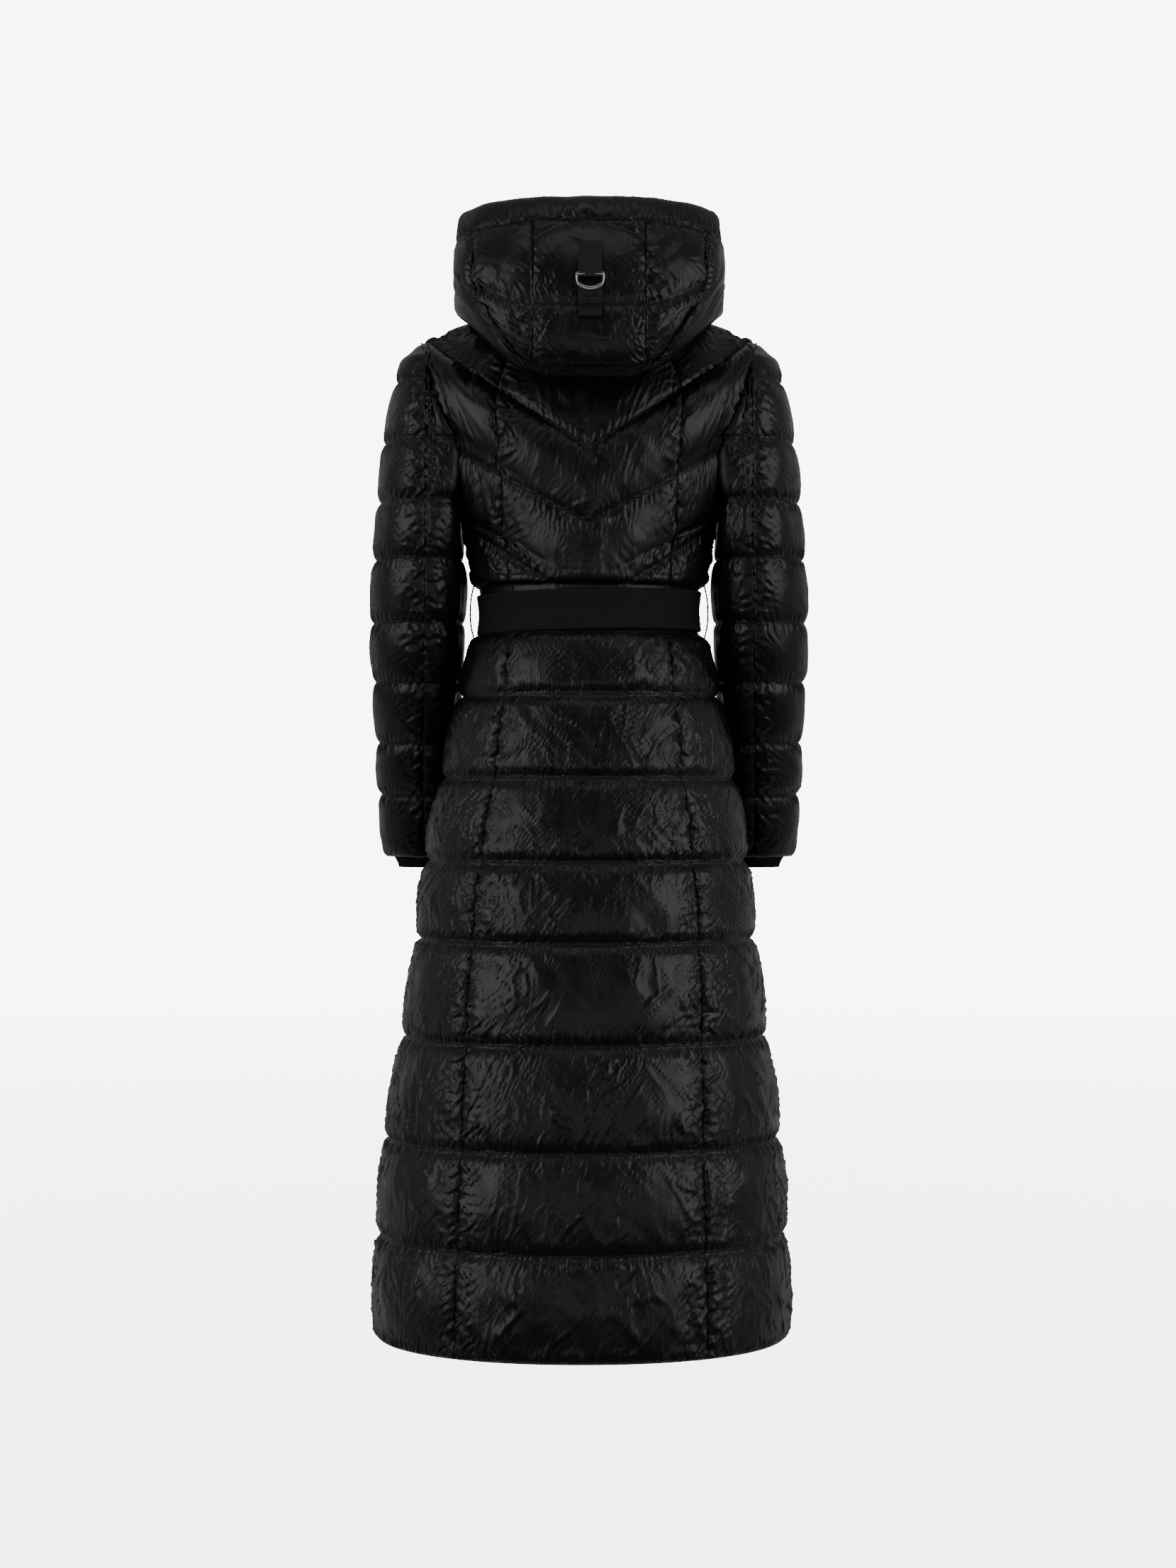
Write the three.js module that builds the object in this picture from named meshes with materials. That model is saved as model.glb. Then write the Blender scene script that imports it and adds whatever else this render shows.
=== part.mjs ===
// A long hooded down coat, filled out as it is when worn, built as hollow padded walls.
// Millimetres, +Z up. The front faces -Y, the wearer's left is +X.
// The origin is the centre of the neck opening, level with the neck points of the shoulders.
import * as THREE from "three";

// Walls and seams.
const seamGap = 0.4;
const wallOut = 1.5;
const wallIn = 1.5;
const laidOver = 0.4;

// Height of the down pillows at the middle of a channel.
const skirtPuff = 11;
const bodicePuff = 9;
const sleevePuff = 8;
const hoodPuff = 9;

// Level where each part of the coat begins or ends.
const waistZ = -355;
const beltTopZ = -332;
const beltBottomZ = -380;
const wristZ = -651;

// Rows of the skirt, one for each quilting seam: half width, half depth, place of the long
// back seam, and how far the row leans to the wearer's left.
const skirtRows = [
  { z: waistZ, halfWidth: 127, halfDepth: 105, seamX: 88, lean: 0 },
  { z: -382, halfWidth: 129, halfDepth: 106, seamX: 88, lean: 0 },
  { z: -456, halfWidth: 148, halfDepth: 121, seamX: 95, lean: 0 },
  { z: -554, halfWidth: 167, halfDepth: 136, seamX: 106, lean: 1 },
  { z: -652, halfWidth: 184, halfDepth: 150, seamX: 119, lean: 3 },
  { z: -746, halfWidth: 194, halfDepth: 161, seamX: 127, lean: 4 },
  { z: -863, halfWidth: 210, halfDepth: 172, seamX: 132, lean: 6 },
  { z: -985, halfWidth: 228, halfDepth: 183, seamX: 135, lean: 8 },
  { z: -1100, halfWidth: 236, halfDepth: 191, seamX: 139, lean: 9 },
  { z: -1222, halfWidth: 241, halfDepth: 198, seamX: 141, lean: 9 },
];

// Rows of the bodice, one for each chevron: centre of the back and of the front, the length of
// the level handle there, and the direction and length in which the row leaves its outer end.
const bodiceRows = [
  { backY: 105, backZ: waistZ, frontY: -105, frontZ: waistZ, handle: 70, outX: 0, outY: 57, outZ: 0, seamX: 88 },
  { backY: 106.5, backZ: -349, frontY: -107, frontZ: -349, handle: 74, outX: -12, outY: 56, outZ: -34, seamX: 93 },
  { backY: 119, backZ: -256, frontY: -124, frontZ: -256, handle: 64, outX: -42, outY: 30, outZ: -30, seamX: 101 },
  { backY: 121, backZ: -170, frontY: -119, frontZ: -170, handle: 70, outX: -38, outY: 52, outZ: -38, seamX: 107 },
  { backY: 62, backZ: -8, frontY: -74, frontZ: -52, handle: 42, outX: -6, outY: 34, outZ: -8, seamX: 62 },
];

// The armhole: an upright loop from the shoulder point round the armpit.
const armhole = { topZ: -32, lowZ: -215, halfDepth: 72, topX: 202, midX: 158, lowX: 165 };
const neckPoint = { x: 78, z: 9 };
const chevronAngle = 2.02;

// Level sections of the sleeve: line of the two sleeve seams, outer and inner reach, middle and
// half depth.
const sleeveRows = [
  { z: -32, seamX: 202, outX: 202.4, inX: 201.8, midY: 0, halfDepth: 0.2 },
  { z: -38, seamX: 200, outX: 209, inX: 199, midY: 0, halfDepth: 26 },
  { z: -48, seamX: 197, outX: 215, inX: 190, midY: 0, halfDepth: 42 },
  { z: -81, seamX: 193, outX: 226, inX: 172, midY: 0, halfDepth: 66 },
  { z: -154, seamX: 194, outX: 241, inX: 162, midY: 0, halfDepth: 78 },
  { z: -224, seamX: 195, outX: 247, inX: 163, midY: -1, halfDepth: 75 },
  { z: -292, seamX: 196, outX: 253, inX: 155, midY: -6, halfDepth: 68 },
  { z: -367, seamX: 197, outX: 257, inX: 157, midY: -18, halfDepth: 62 },
  { z: -437, seamX: 199, outX: 256, inX: 162, midY: -38, halfDepth: 57 },
  { z: -510, seamX: 202, outX: 254, inX: 163, midY: -68, halfDepth: 52 },
  { z: -573, seamX: 204, outX: 253, inX: 164, midY: -95, halfDepth: 48 },
  { z: wristZ, seamX: 204, outX: 249, inX: 163, midY: -126, halfDepth: 43 },
];
const sleeveSeams = [-32, -81, -154, -224, -292, -367, -437, -510, -573, wristZ];

// Rows of the hood, from the neck seam down its underside, round the bottom of the bag, up the
// outside and over the rim: centre of the back, width of the level part, side, and front.
const hoodRows = [
  { backY: 63, backZ: -5, level: 8, sideX: 78, sideY: 0, sideZ: 12, frontY: -74, frontZ: -49, crownX: 26 },
  { backY: 96, backZ: -14, level: 16, sideX: 106, sideY: 22, sideZ: 25, frontY: -90, frontZ: -34, crownX: 30 },
  { backY: 124, backZ: -52, level: 24, sideX: 132, sideY: 50, sideZ: 14, frontY: -99, frontZ: -18, crownX: 34 },
  { backY: 142, backZ: -84, level: 34, sideX: 148, sideY: 70, sideZ: -4, frontY: -105, frontZ: -3, crownX: 42 },
  { backY: 162, backZ: -68, level: 46, sideX: 152, sideY: 80, sideZ: 14, frontY: -108, frontZ: 6, crownX: 84 },
  { backY: 170, backZ: -22, level: 60, sideX: 152, sideY: 82, sideZ: 34, frontY: -109, frontZ: 15, crownX: 112 },
  { backY: 164, backZ: 40, level: 70, sideX: 150, sideY: 76, sideZ: 54, frontY: -108, frontZ: 24, crownX: 123 },
  { backY: 144, backZ: 92, level: 40, sideX: 146, sideY: 62, sideZ: 72, frontY: -105, frontZ: 34, crownX: 126 },
  { backY: 124, backZ: 115, level: 60, sideX: 142, sideY: 50, sideZ: 98, frontY: -99, frontZ: 50, crownX: 120 },
  { backY: 108, backZ: 104, level: 60, sideX: 130, sideY: 46, sideZ: 90, frontY: -90, frontZ: 44, crownX: 112 },
];
const hoodRim = 7;
const crownCentreX = 62;
const neckGap = 1.6;
const hoodGap = 0.5;

const clamp = (value, low, high) => Math.min(high, Math.max(low, value));
const smooth = (value, low, high) => {
  const share = clamp((value - low) / (high - low), 0, 1);
  return share * share * (3 - 2 * share);
};
const mix = (from, to, share) => from + (to - from) * share;

// A named column of a table at a row between two rows, along a smooth curve through all rows.
function column(rows, name, at) {
  const place = clamp(at, 0, rows.length - 1);
  const low = Math.min(Math.floor(place), rows.length - 2);
  const share = place - low;
  const from = rows[low][name];
  const to = rows[low + 1][name];
  const before = low > 0 ? rows[low - 1][name] : from - (to - from);
  const after = low + 2 < rows.length ? rows[low + 2][name] : to + (to - from);
  const slopeIn = (to - before) / 2;
  const slopeOut = (after - from) / 2;
  const square = share * share;
  const cube = square * share;
  return (
    from * (2 * cube - 3 * square + 1) +
    slopeIn * (cube - 2 * square + share) +
    to * (3 * square - 2 * cube) +
    slopeOut * (cube - square)
  );
}

// The row at which the z column of a falling table reaches a level.
function rowAtLevel(rows, z) {
  let low = 0;
  while (low < rows.length - 2 && rows[low + 1].z > z) low += 1;
  return low + clamp((rows[low].z - z) / (rows[low].z - rows[low + 1].z), 0, 1);
}

// A column read at a level, with straight lines between the rows' levels turned smooth.
function atLevel(rows, name, z) {
  let low = 0;
  while (low < rows.length - 2 && rows[low + 1].z > z) low += 1;
  const step = rows[low].z - rows[low + 1].z;
  const share = clamp((rows[low].z - z) / step, 0, 1);
  const slopeAt = (index) => {
    const above = rows[Math.max(index - 1, 0)];
    const below = rows[Math.min(index + 1, rows.length - 1)];
    return (below[name] - above[name]) / (above.z - below.z);
  };
  const square = share * share;
  const cube = square * share;
  return (
    rows[low][name] * (2 * cube - 3 * square + 1) +
    slopeAt(low) * step * (cube - 2 * square + share) +
    rows[low + 1][name] * (3 * square - 2 * cube) +
    slopeAt(low + 1) * step * (cube - square)
  );
}

function bezier(a, b, c, d, t) {
  const s = 1 - t;
  return new THREE.Vector3()
    .addScaledVector(a, s * s * s)
    .addScaledVector(b, 3 * s * s * t)
    .addScaledVector(c, 3 * s * t * t)
    .addScaledVector(d, t * t * t);
}

// The armhole at an angle: 0 is the shoulder point, a quarter turn is the middle of the back.
function armholeAt(angle) {
  const height = Math.cos(angle);
  const middle = (armhole.topZ + armhole.lowZ) / 2;
  const rise = clamp((height + 0.2) / 1.2, 0, 1);
  const drop = clamp((-0.2 - height) / 0.8, 0, 1);
  const x =
    armhole.midX +
    (armhole.topX - armhole.midX) * rise ** 0.9 +
    (armhole.lowX - armhole.midX) * drop ** 2;
  return new THREE.Vector3(
    x,
    armhole.halfDepth * Math.sin(angle),
    middle + ((armhole.topZ - armhole.lowZ) / 2) * height,
  );
}

// The side seam as a front panel sees it.
const frontSide = 1 + 1e-9;

// The outer end of a bodice row on the back: up the side seam, round the armhole, then in
// along the shoulder seam to the neck point.
const sideShare = 0.35;
function bodiceEdge(row) {
  const side = [
    new THREE.Vector3(127, 0, waistZ),
    new THREE.Vector3(149, 0, -240),
    armholeAt(Math.PI),
  ];
  if (row <= 1) {
    const share = row;
    return new THREE.Vector3(
      mix(side[0].x, side[1].x, share + 0.35 * share * (share - 1)),
      0,
      mix(side[0].z, side[1].z, share),
    );
  }
  if (row <= 1 + sideShare) {
    return side[1].clone().lerp(side[2], (row - 1) / sideShare);
  }
  if (row <= 3) return armholeAt(armholeAngle(row));
  return new THREE.Vector3(armhole.topX, 0, armhole.topZ).lerp(
    new THREE.Vector3(neckPoint.x, 0, neckPoint.z),
    row - 3,
  );
}

// A point of the bodice: across runs 0 at the back, 1 at the side and 2 at the front, minus for
// the wearer's right, and row counts the chevrons from the waist up.
function bodiceAt(across, row) {
  const front = Math.abs(across) > 1;
  const share = front ? 2 - Math.abs(across) : Math.abs(across);
  const turn = front ? -1 : 1;
  const y = column(bodiceRows, front ? "frontY" : "backY", row);
  const z = column(bodiceRows, front ? "frontZ" : "backZ", row);
  const edge = bodiceEdge(row);
  edge.y *= turn;
  const handle = column(bodiceRows, "handle", row);
  const centre = new THREE.Vector3(0, y, z);
  const first = new THREE.Vector3(handle, y, mix(z, edge.z, 0.36));
  const second = new THREE.Vector3(
    edge.x + column(bodiceRows, "outX", row),
    edge.y + turn * column(bodiceRows, "outY", row),
    edge.z + column(bodiceRows, "outZ", row),
  );
  const point = bezier(centre, first, second, edge, share);
  if (across < 0) point.x *= -1;
  return point;
}

// A point of the skirt, with across as on the bodice and row down its table.
function skirtAt(across, row) {
  const angle = (Math.abs(across) * Math.PI) / 2;
  const square = mix(1, 0.93, smooth(row, 0, 2));
  const sine = Math.sin(angle);
  const cosine = Math.cos(angle);
  const x = column(skirtRows, "halfWidth", row) * Math.abs(sine) ** square;
  const y = column(skirtRows, "halfDepth", row) * Math.sign(cosine) * Math.abs(cosine) ** square;
  return new THREE.Vector3(
    (across < 0 ? -x : x) + column(skirtRows, "lean", row),
    y,
    column(skirtRows, "z", row),
  );
}

// The place across at which a surface reaches a distance from the middle.
function acrossAt(surface, row, x) {
  let low = 0;
  let high = 1;
  const middle = surface(0, row).x;
  for (let i = 0; i < 30; i += 1) {
    const half = (low + high) / 2;
    if (surface(half, row).x - middle < x) low = half;
    else high = half;
  }
  return low;
}

// The normal of a surface by small steps, turned to face away from a point inside.
function normalOf(surface, a, b, inside) {
  const step = 1e-3;
  const alongA = surface(a + step, b).sub(surface(a - step, b));
  const alongB = surface(a, b + step).sub(surface(a, b - step));
  const normal = alongA.cross(alongB).normalize();
  const away = surface(a, b).sub(inside);
  return normal.dot(away) < 0 ? normal.negate() : normal;
}

// The direction of the wall's edge at the armhole, shared by bodice and sleeve down to the
// armpit, where the two walls fold against each other and keep their own.
function armholeNormal(angle, own, side) {
  const lean = 0.35 - 0.2 * smooth(Math.abs(angle), 0.5, 1.6);
  const shared = new THREE.Vector3(side * lean, Math.sin(angle), Math.cos(angle)).normalize();
  return own.lerp(shared, 1 - smooth(Math.abs(angle), 1.9, 2.6)).normalize();
}

// The angle round the armhole at which a bodice row ends.
function armholeAngle(row) {
  if (row > 2) return mix(chevronAngle, 0, Math.min(row - 2, 1));
  return mix(Math.PI, chevronAngle, clamp((row - 1 - sideShare) / (1 - sideShare), 0, 1));
}

function bodiceNormal(across, row) {
  const inside = new THREE.Vector3(0, 0, column(bodiceRows, "backZ", row) - 60);
  const size = Math.abs(across);
  const side = across < 0 ? -1 : 1;
  const atSide = Math.abs(size - 1) < 1e-6;
  let place = clamp(size, 0.004, 1.996);
  if (atSide) place = size > 1 ? 1.004 : 0.996;
  const normal = normalOf(bodiceAt, side * place, clamp(row, 0.01, 3.99), inside);
  normal.z *= smooth(row, 0, 1.2) * (1 - smooth(row, 3.9, 4));
  if (size < 1e-6 || size > 2 - 1e-6) normal.x = 0;
  if (atSide && (row < 1 + sideShare + 1e-6 || row > 3 + 1e-6)) normal.y = 0;
  if (atSide && row > 1 + sideShare && row < 3 + 1e-6) {
    return armholeNormal(armholeAngle(row) * (size > 1 ? -1 : 1), normal.normalize(), side);
  }
  return normal.normalize();
}

function skirtNormal(across, row) {
  const place = clamp(Math.abs(across), 0.004, 1.996) * (across < 0 ? -1 : 1);
  const normal = normalOf(skirtAt, place, clamp(row, 0.01, 8.99), new THREE.Vector3(0, 0, -700));
  normal.z = 0;
  if (Math.abs(Math.abs(across) - 1) < 1e-6) normal.y = 0;
  if (Math.abs(across) < 1e-6 || Math.abs(across) > 2 - 1e-6) normal.x = 0;
  return normal.normalize();
}

// The pillow between two quilting seams, 0 on a seam and 1 half way.
const pillow = (share) => (4 * clamp(share, 0, 1) * (1 - clamp(share, 0, 1))) ** 0.6;
const gathered = (share) => (4 * clamp(share, 0, 1) * (1 - clamp(share, 0, 1))) ** 0.3;

// Closes an outer and an inner face, each a grid of points, into one solid wall. The two may
// have different rows and columns, whose places at gives.
function solidFrom(name, outer, inner, ring, at = {}) {
  const points = [];
  const keys = new Map();
  const triangles = [];
  const indexOf = (p) => {
    const key = [p.x, p.y, p.z].map((value) => Math.round(value * 500)).join();
    if (!keys.has(key)) {
      keys.set(key, points.length / 3);
      points.push(p.x, p.y, p.z);
    }
    return keys.get(key);
  };
  const addTriangle = (a, b, c) => {
    if (a !== b && b !== c && a !== c) triangles.push(a, b, c);
  };
  const addGrid = (grid, flip) => {
    const ids = grid.map((line) => line.map(indexOf));
    for (let i = 0; i < ids.length - 1; i += 1) {
      for (let j = 0; j < ids[i].length - 1; j += 1) {
        const [a, b, c, d] = [ids[i][j], ids[i][j + 1], ids[i + 1][j + 1], ids[i + 1][j]];
        if (flip) {
          addTriangle(a, c, b);
          addTriangle(a, d, c);
        } else {
          addTriangle(a, b, c);
          addTriangle(a, c, d);
        }
      }
    }
    return ids;
  };
  // Joins two chains that run side by side, always from the same end and by their places.
  const evenly = (list) => list.map((_, i) => i / (list.length - 1));
  const addSide = (left, right, flip, leftPlaces, rightPlaces) => {
    const leftAt = leftPlaces ?? evenly(left);
    const rightAt = rightPlaces ?? evenly(right);
    const turn = leftAt[0] < leftAt[leftAt.length - 1] ? 1 : -1;
    let i = 0;
    let j = 0;
    while (i < left.length - 1 || j < right.length - 1) {
      const nextLeft = turn * leftAt[i + 1];
      const nextRight = turn * rightAt[j + 1] + 1e-9;
      if (j >= right.length - 1 || (i < left.length - 1 && nextLeft <= nextRight)) {
        if (flip) addTriangle(left[i], left[i + 1], right[j]);
        else addTriangle(left[i], right[j], left[i + 1]);
        i += 1;
      } else {
        if (flip) addTriangle(left[i], right[j + 1], right[j]);
        else addTriangle(left[i], right[j], right[j + 1]);
        j += 1;
      }
    }
  };
  const outIds = addGrid(outer, false);
  const inIds = addGrid(inner, true);
  const first = (ids) => ids[0];
  const last = (ids) => ids[ids.length - 1];
  addSide(first(outIds), first(inIds), false, at.columns, at.innerColumns);
  addSide(last(outIds), last(inIds), true, at.columns, at.innerColumns);
  if (!ring) {
    const leftOf = (ids) => ids.map((line) => line[0]);
    const rightOf = (ids) => ids.map((line) => line[line.length - 1]);
    addSide(leftOf(outIds), leftOf(inIds), true, at.rows, at.innerRows);
    addSide(rightOf(outIds), rightOf(inIds), false, at.rows, at.innerRows);
  }
  return meshFrom(name, points, triangles);
}

// A mesh with its faces turned outwards.
function meshFrom(name, points, triangles) {
  let volume = 0;
  const corner = (index) => new THREE.Vector3().fromArray(points, index * 3);
  for (let i = 0; i < triangles.length; i += 3) {
    const [a, b, c] = [corner(triangles[i]), corner(triangles[i + 1]), corner(triangles[i + 2])];
    volume += a.dot(b.cross(c)) / 6;
  }
  const index = [...triangles];
  if (volume < 0) {
    for (let i = 0; i < index.length; i += 3) {
      [index[i + 1], index[i + 2]] = [index[i + 2], index[i + 1]];
    }
  }
  const geometry = new THREE.BufferGeometry();
  geometry.setAttribute("position", new THREE.Float32BufferAttribute(points, 3));
  geometry.setIndex(index);
  geometry.computeVertexNormals();
  const mesh = new THREE.Mesh(geometry, materialOf(name));
  mesh.name = name;
  return mesh;
}

const looks = {
  shell: { color: 0x0b0c10, roughness: 0.42, metalness: 0 },
  webbing: { color: 0x121214, roughness: 0.85, metalness: 0 },
  knit: { color: 0x0c0c0e, roughness: 0.95, metalness: 0 },
  metal: { color: 0xb9bbbf, roughness: 0.22, metalness: 1 },
};
function materialOf(name) {
  let look = looks.shell;
  if (name.startsWith("belt")) look = looks.webbing;
  if (name.startsWith("cuff")) look = looks.knit;
  if (name.startsWith("hood_ring")) look = looks.metal;
  return new THREE.MeshStandardMaterial({ ...look });
}

const coat = new THREE.Group();
coat.name = "long_puffer_coat";

// Samples of one channel, closer together where the pillow turns into the seam.
const inChannel = [0, 0.14, 0.5, 0.86];
const acrossPanel = [0, 0.08, 0.3, 0.5, 0.7, 0.92, 1];
const rowSamples = (from, to, steps) => {
  const samples = [];
  for (let row = from; row < to; row += 1) samples.push(...steps.map((s) => row + s));
  samples.push(to);
  return samples;
};

// One padded panel. pointAt and normalAt take (across, row), fromOf and toOf give its two
// edges at a row, warp moves its columns, and puffAt(across, share, row) gives the height of
// the pillow.
function addPanel(name, panel) {
  const { pointAt, normalAt, fromOf, toOf, rows, innerRows, columns, innerColumns, puffAt } = panel;
  const warp = panel.warp ?? ((share) => share);
  const topRow = rows[0];
  const bottomRow = rows[rows.length - 1];
  const gap = (panel.gap ?? seamGap) / 2;
  const place = (evenShare, row, offset) => {
    const share = warp(evenShare, row);
    const from = fromOf(row);
    const to = toOf(row);
    const across = mix(from, to, share);
    const point = pointAt(across, row);
    const normal = normalAt(across, row);
    if (share === 0 || share === 1) {
      const inward = pointAt(mix(from, to, share === 0 ? 0.02 : 0.98), row).sub(point);
      const edgeOf = share === 0 ? fromOf : toOf;
      const low = clamp(row - 0.02, Math.min(topRow, bottomRow), Math.max(topRow, bottomRow));
      const high = clamp(row + 0.02, Math.min(topRow, bottomRow), Math.max(topRow, bottomRow));
      const along = pointAt(edgeOf(high), high).sub(pointAt(edgeOf(low), low)).normalize();
      inward.addScaledVector(along, -inward.dot(along));
      if (inward.length() > 1e-6) point.addScaledVector(inward.normalize(), gap);
    }
    if (row === topRow || row === bottomRow) {
      const next = row === topRow ? rows[1] : rows[rows.length - 2];
      const acrossNext = mix(fromOf(next), toOf(next), warp(evenShare, next));
      const inward = pointAt(acrossNext, next).sub(pointAt(across, row));
      if (inward.length() > 1e-6) point.addScaledVector(inward.normalize(), gap);
    }
    return point.addScaledVector(normal, offset);
  };
  const heightAt = (evenShare, row) => {
    const share = warp(evenShare, row);
    return wallOut + puffAt(mix(fromOf(row), toOf(row), share), share, row);
  };
  const outer = rows.map((row) =>
    columns.map((share) => place(share, row, heightAt(share, row))),
  );
  const inner = innerRows.map((row) =>
    innerColumns.map((share) => place(share, row, -wallIn)),
  );
  coat.add(solidFrom(name, outer, inner, false, { rows, innerRows, columns, innerColumns }));
}

// Skirt: level channels between the long seams.
const skirtInner = rowSamples(0, 9, [0, 0.5]);
const skirtOuter = [0, ...rowSamples(1, 9, inChannel)];
const skirtSeam = (row) => acrossAt(skirtAt, row, column(skirtRows, "seamX", row));
// The fronts lie flat beside their edge, under the fly.
const flyHalfWidth = 23;
const flatHalfWidth = 25.5;
const flatAt = (surface, across, row) =>
  across > -1 && across < 1 ? 1 : smooth(Math.abs(surface(across, row).x - surface(2, row).x), flatHalfWidth, 44);
const skirtPuffAt = (across, share, row) => {
  const channel = row - Math.floor(row);
  if (row < 1) return 0;
  const height = Math.floor(row) === 1 ? 0.8 * skirtPuff : skirtPuff;
  return height * pillow(channel) * (0.35 + 0.65 * gathered(share)) * flatAt(skirtAt, across, row);
};
// The place across on the front at which a surface is a distance from the middle.
function frontAcrossAt(surface, row, x) {
  let low = 0;
  let high = 1;
  const middle = surface(2, row).x;
  for (let i = 0; i < 30; i += 1) {
    const half = (low + high) / 2;
    if (surface(2 - half, row).x - middle < x) low = half;
    else high = half;
  }
  return 2 - low;
}
// Columns of a left front, with the last but one at the edge of the flat, and their mirror.
const flatShare = 0.88;
const frontSamples = [0, 0.05, 0.2, 0.36, 0.52, 0.66, 0.78, flatShare, 1];
const frontInner = [0, 0.2, 0.36, 0.52, 0.66, 0.78, flatShare, 1];
const mirrored = (list) => list.map((share) => 1 - share).reverse();
const warpLeft = (surface, fromOf) => (share, row) => {
  const from = fromOf(row);
  const flat = (frontAcrossAt(surface, row, flatHalfWidth) - from) / (2 - from);
  if (share <= flatShare) return (share / flatShare) * flat;
  return mix(flat, 1, (share - flatShare) / (1 - flatShare));
};
const warpRight = (surface, fromOf) => (share, row) => 1 - warpLeft(surface, fromOf)(1 - share, row);
const skirtPanel = {
  pointAt: skirtAt,
  normalAt: skirtNormal,
  rows: skirtOuter,
  innerRows: skirtInner,
  columns: acrossPanel,
  innerColumns: [0, 0.5, 1],
  puffAt: skirtPuffAt,
};
addPanel("skirt_back_centre", {
  ...skirtPanel,
  columns: [0, 0.05, 0.2, 0.35, 0.5, 0.65, 0.8, 0.95, 1],
  innerColumns: [0, 0.25, 0.5, 0.75, 1],
  fromOf: (row) => -skirtSeam(row),
  toOf: skirtSeam,
});
addPanel("skirt_back_side_L", { ...skirtPanel, fromOf: skirtSeam, toOf: () => 1 });
addPanel("skirt_back_side_R", { ...skirtPanel, fromOf: () => -1, toOf: (row) => -skirtSeam(row) });
addPanel("skirt_front_L", {
  ...skirtPanel,
  columns: frontSamples,
  innerColumns: frontInner,
  fromOf: () => frontSide,
  toOf: () => 2,
  warp: warpLeft(skirtAt, () => frontSide),
});
addPanel("skirt_front_R", {
  ...skirtPanel,
  columns: mirrored(frontSamples),
  innerColumns: mirrored(frontInner),
  fromOf: () => -2,
  toOf: () => -frontSide,
  warp: warpRight(skirtAt, () => frontSide),
});

// Bodice: chevron channels, flat under the belt and thin under the arm.
const bodiceOuter = [
  ...rowSamples(0, 1, [0, 0.2, 0.5, 0.85]).slice(0, -1),
  ...rowSamples(1, 2, [0, 0.15, sideShare, 0.65, 0.88]).slice(0, -1),
  ...rowSamples(2, 3, [0, 0.15, 0.5, 0.85]).slice(0, -1),
  3, 3.1, 3.35, 3.65, 3.9, 4,
].reverse();
const bodiceInner = [4, 3.65, 3.35, 3, 2.5, 2, 1.65, 1 + sideShare, 1, 0.5, 0];
const bodiceSeam = (row) => acrossAt(bodiceAt, row, column(bodiceRows, "seamX", row));
const bodicePuffAt = (across, share, row) => {
  const point = bodiceAt(across, row);
  const underBelt = smooth(point.z, beltTopZ + 4, beltTopZ + 22);
  const fromArmhole = row > 1 && row < 3.4 ? smooth(1 - Math.abs(Math.abs(across) - 1), 1, 0.82) : 1;
  const channel = row - Math.floor(row);
  const nearNeck = 1 - smooth(row, 3.4, 3.9);
  return (
    bodicePuff * pillow(channel) * (0.35 + 0.65 * gathered(share)) *
    underBelt * fromArmhole * nearNeck * flatAt(bodiceAt, across, row)
  );
};
const bodicePanel = {
  pointAt: bodiceAt,
  normalAt: bodiceNormal,
  rows: bodiceOuter,
  innerRows: bodiceInner,
  columns: acrossPanel,
  innerColumns: [0, 0.3, 0.7, 1],
  puffAt: bodicePuffAt,
};
addPanel("bodice_back_centre", {
  ...bodicePanel,
  columns: [0, 0.05, 0.2, 0.35, 0.5, 0.65, 0.8, 0.95, 1],
  innerColumns: [0, 0.25, 0.5, 0.75, 1],
  fromOf: (row) => -bodiceSeam(row),
  toOf: bodiceSeam,
});
addPanel("bodice_back_side_L", { ...bodicePanel, fromOf: bodiceSeam, toOf: () => 1 });
addPanel("bodice_back_side_R", {
  ...bodicePanel,
  fromOf: () => -1,
  toOf: (row) => -bodiceSeam(row),
});
addPanel("bodice_front_L", {
  ...bodicePanel,
  columns: frontSamples,
  innerColumns: frontInner,
  fromOf: () => frontSide,
  toOf: () => 2,
  warp: warpLeft(bodiceAt, () => frontSide),
});
addPanel("bodice_front_R", {
  ...bodicePanel,
  columns: mirrored(frontSamples),
  innerColumns: mirrored(frontInner),
  fromOf: () => -2,
  toOf: () => -frontSide,
  warp: warpRight(bodiceAt, () => frontSide),
});

// How far out the coat's body reaches at a level and depth, pillows included.
function bodyReach(y, z) {
  const below = z < waistZ;
  const row = below ? rowAtLevel(skirtRows, z) : 0;
  const torso = clamp((z - waistZ) / (-240 - waistZ), 0, 1.2);
  const width = below ? column(skirtRows, "halfWidth", row) : mix(127, 149, torso ** 1.3);
  const depth = below ? column(skirtRows, "halfDepth", row) : mix(104, 118, torso);
  const lift = below ? wallOut + skirtPuff + 1.2 : wallOut + 5;
  const inside = 1 - (y / (depth + lift)) ** 2;
  return inside > 0 ? (width + lift) * Math.sqrt(inside) : 0;
}

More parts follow.
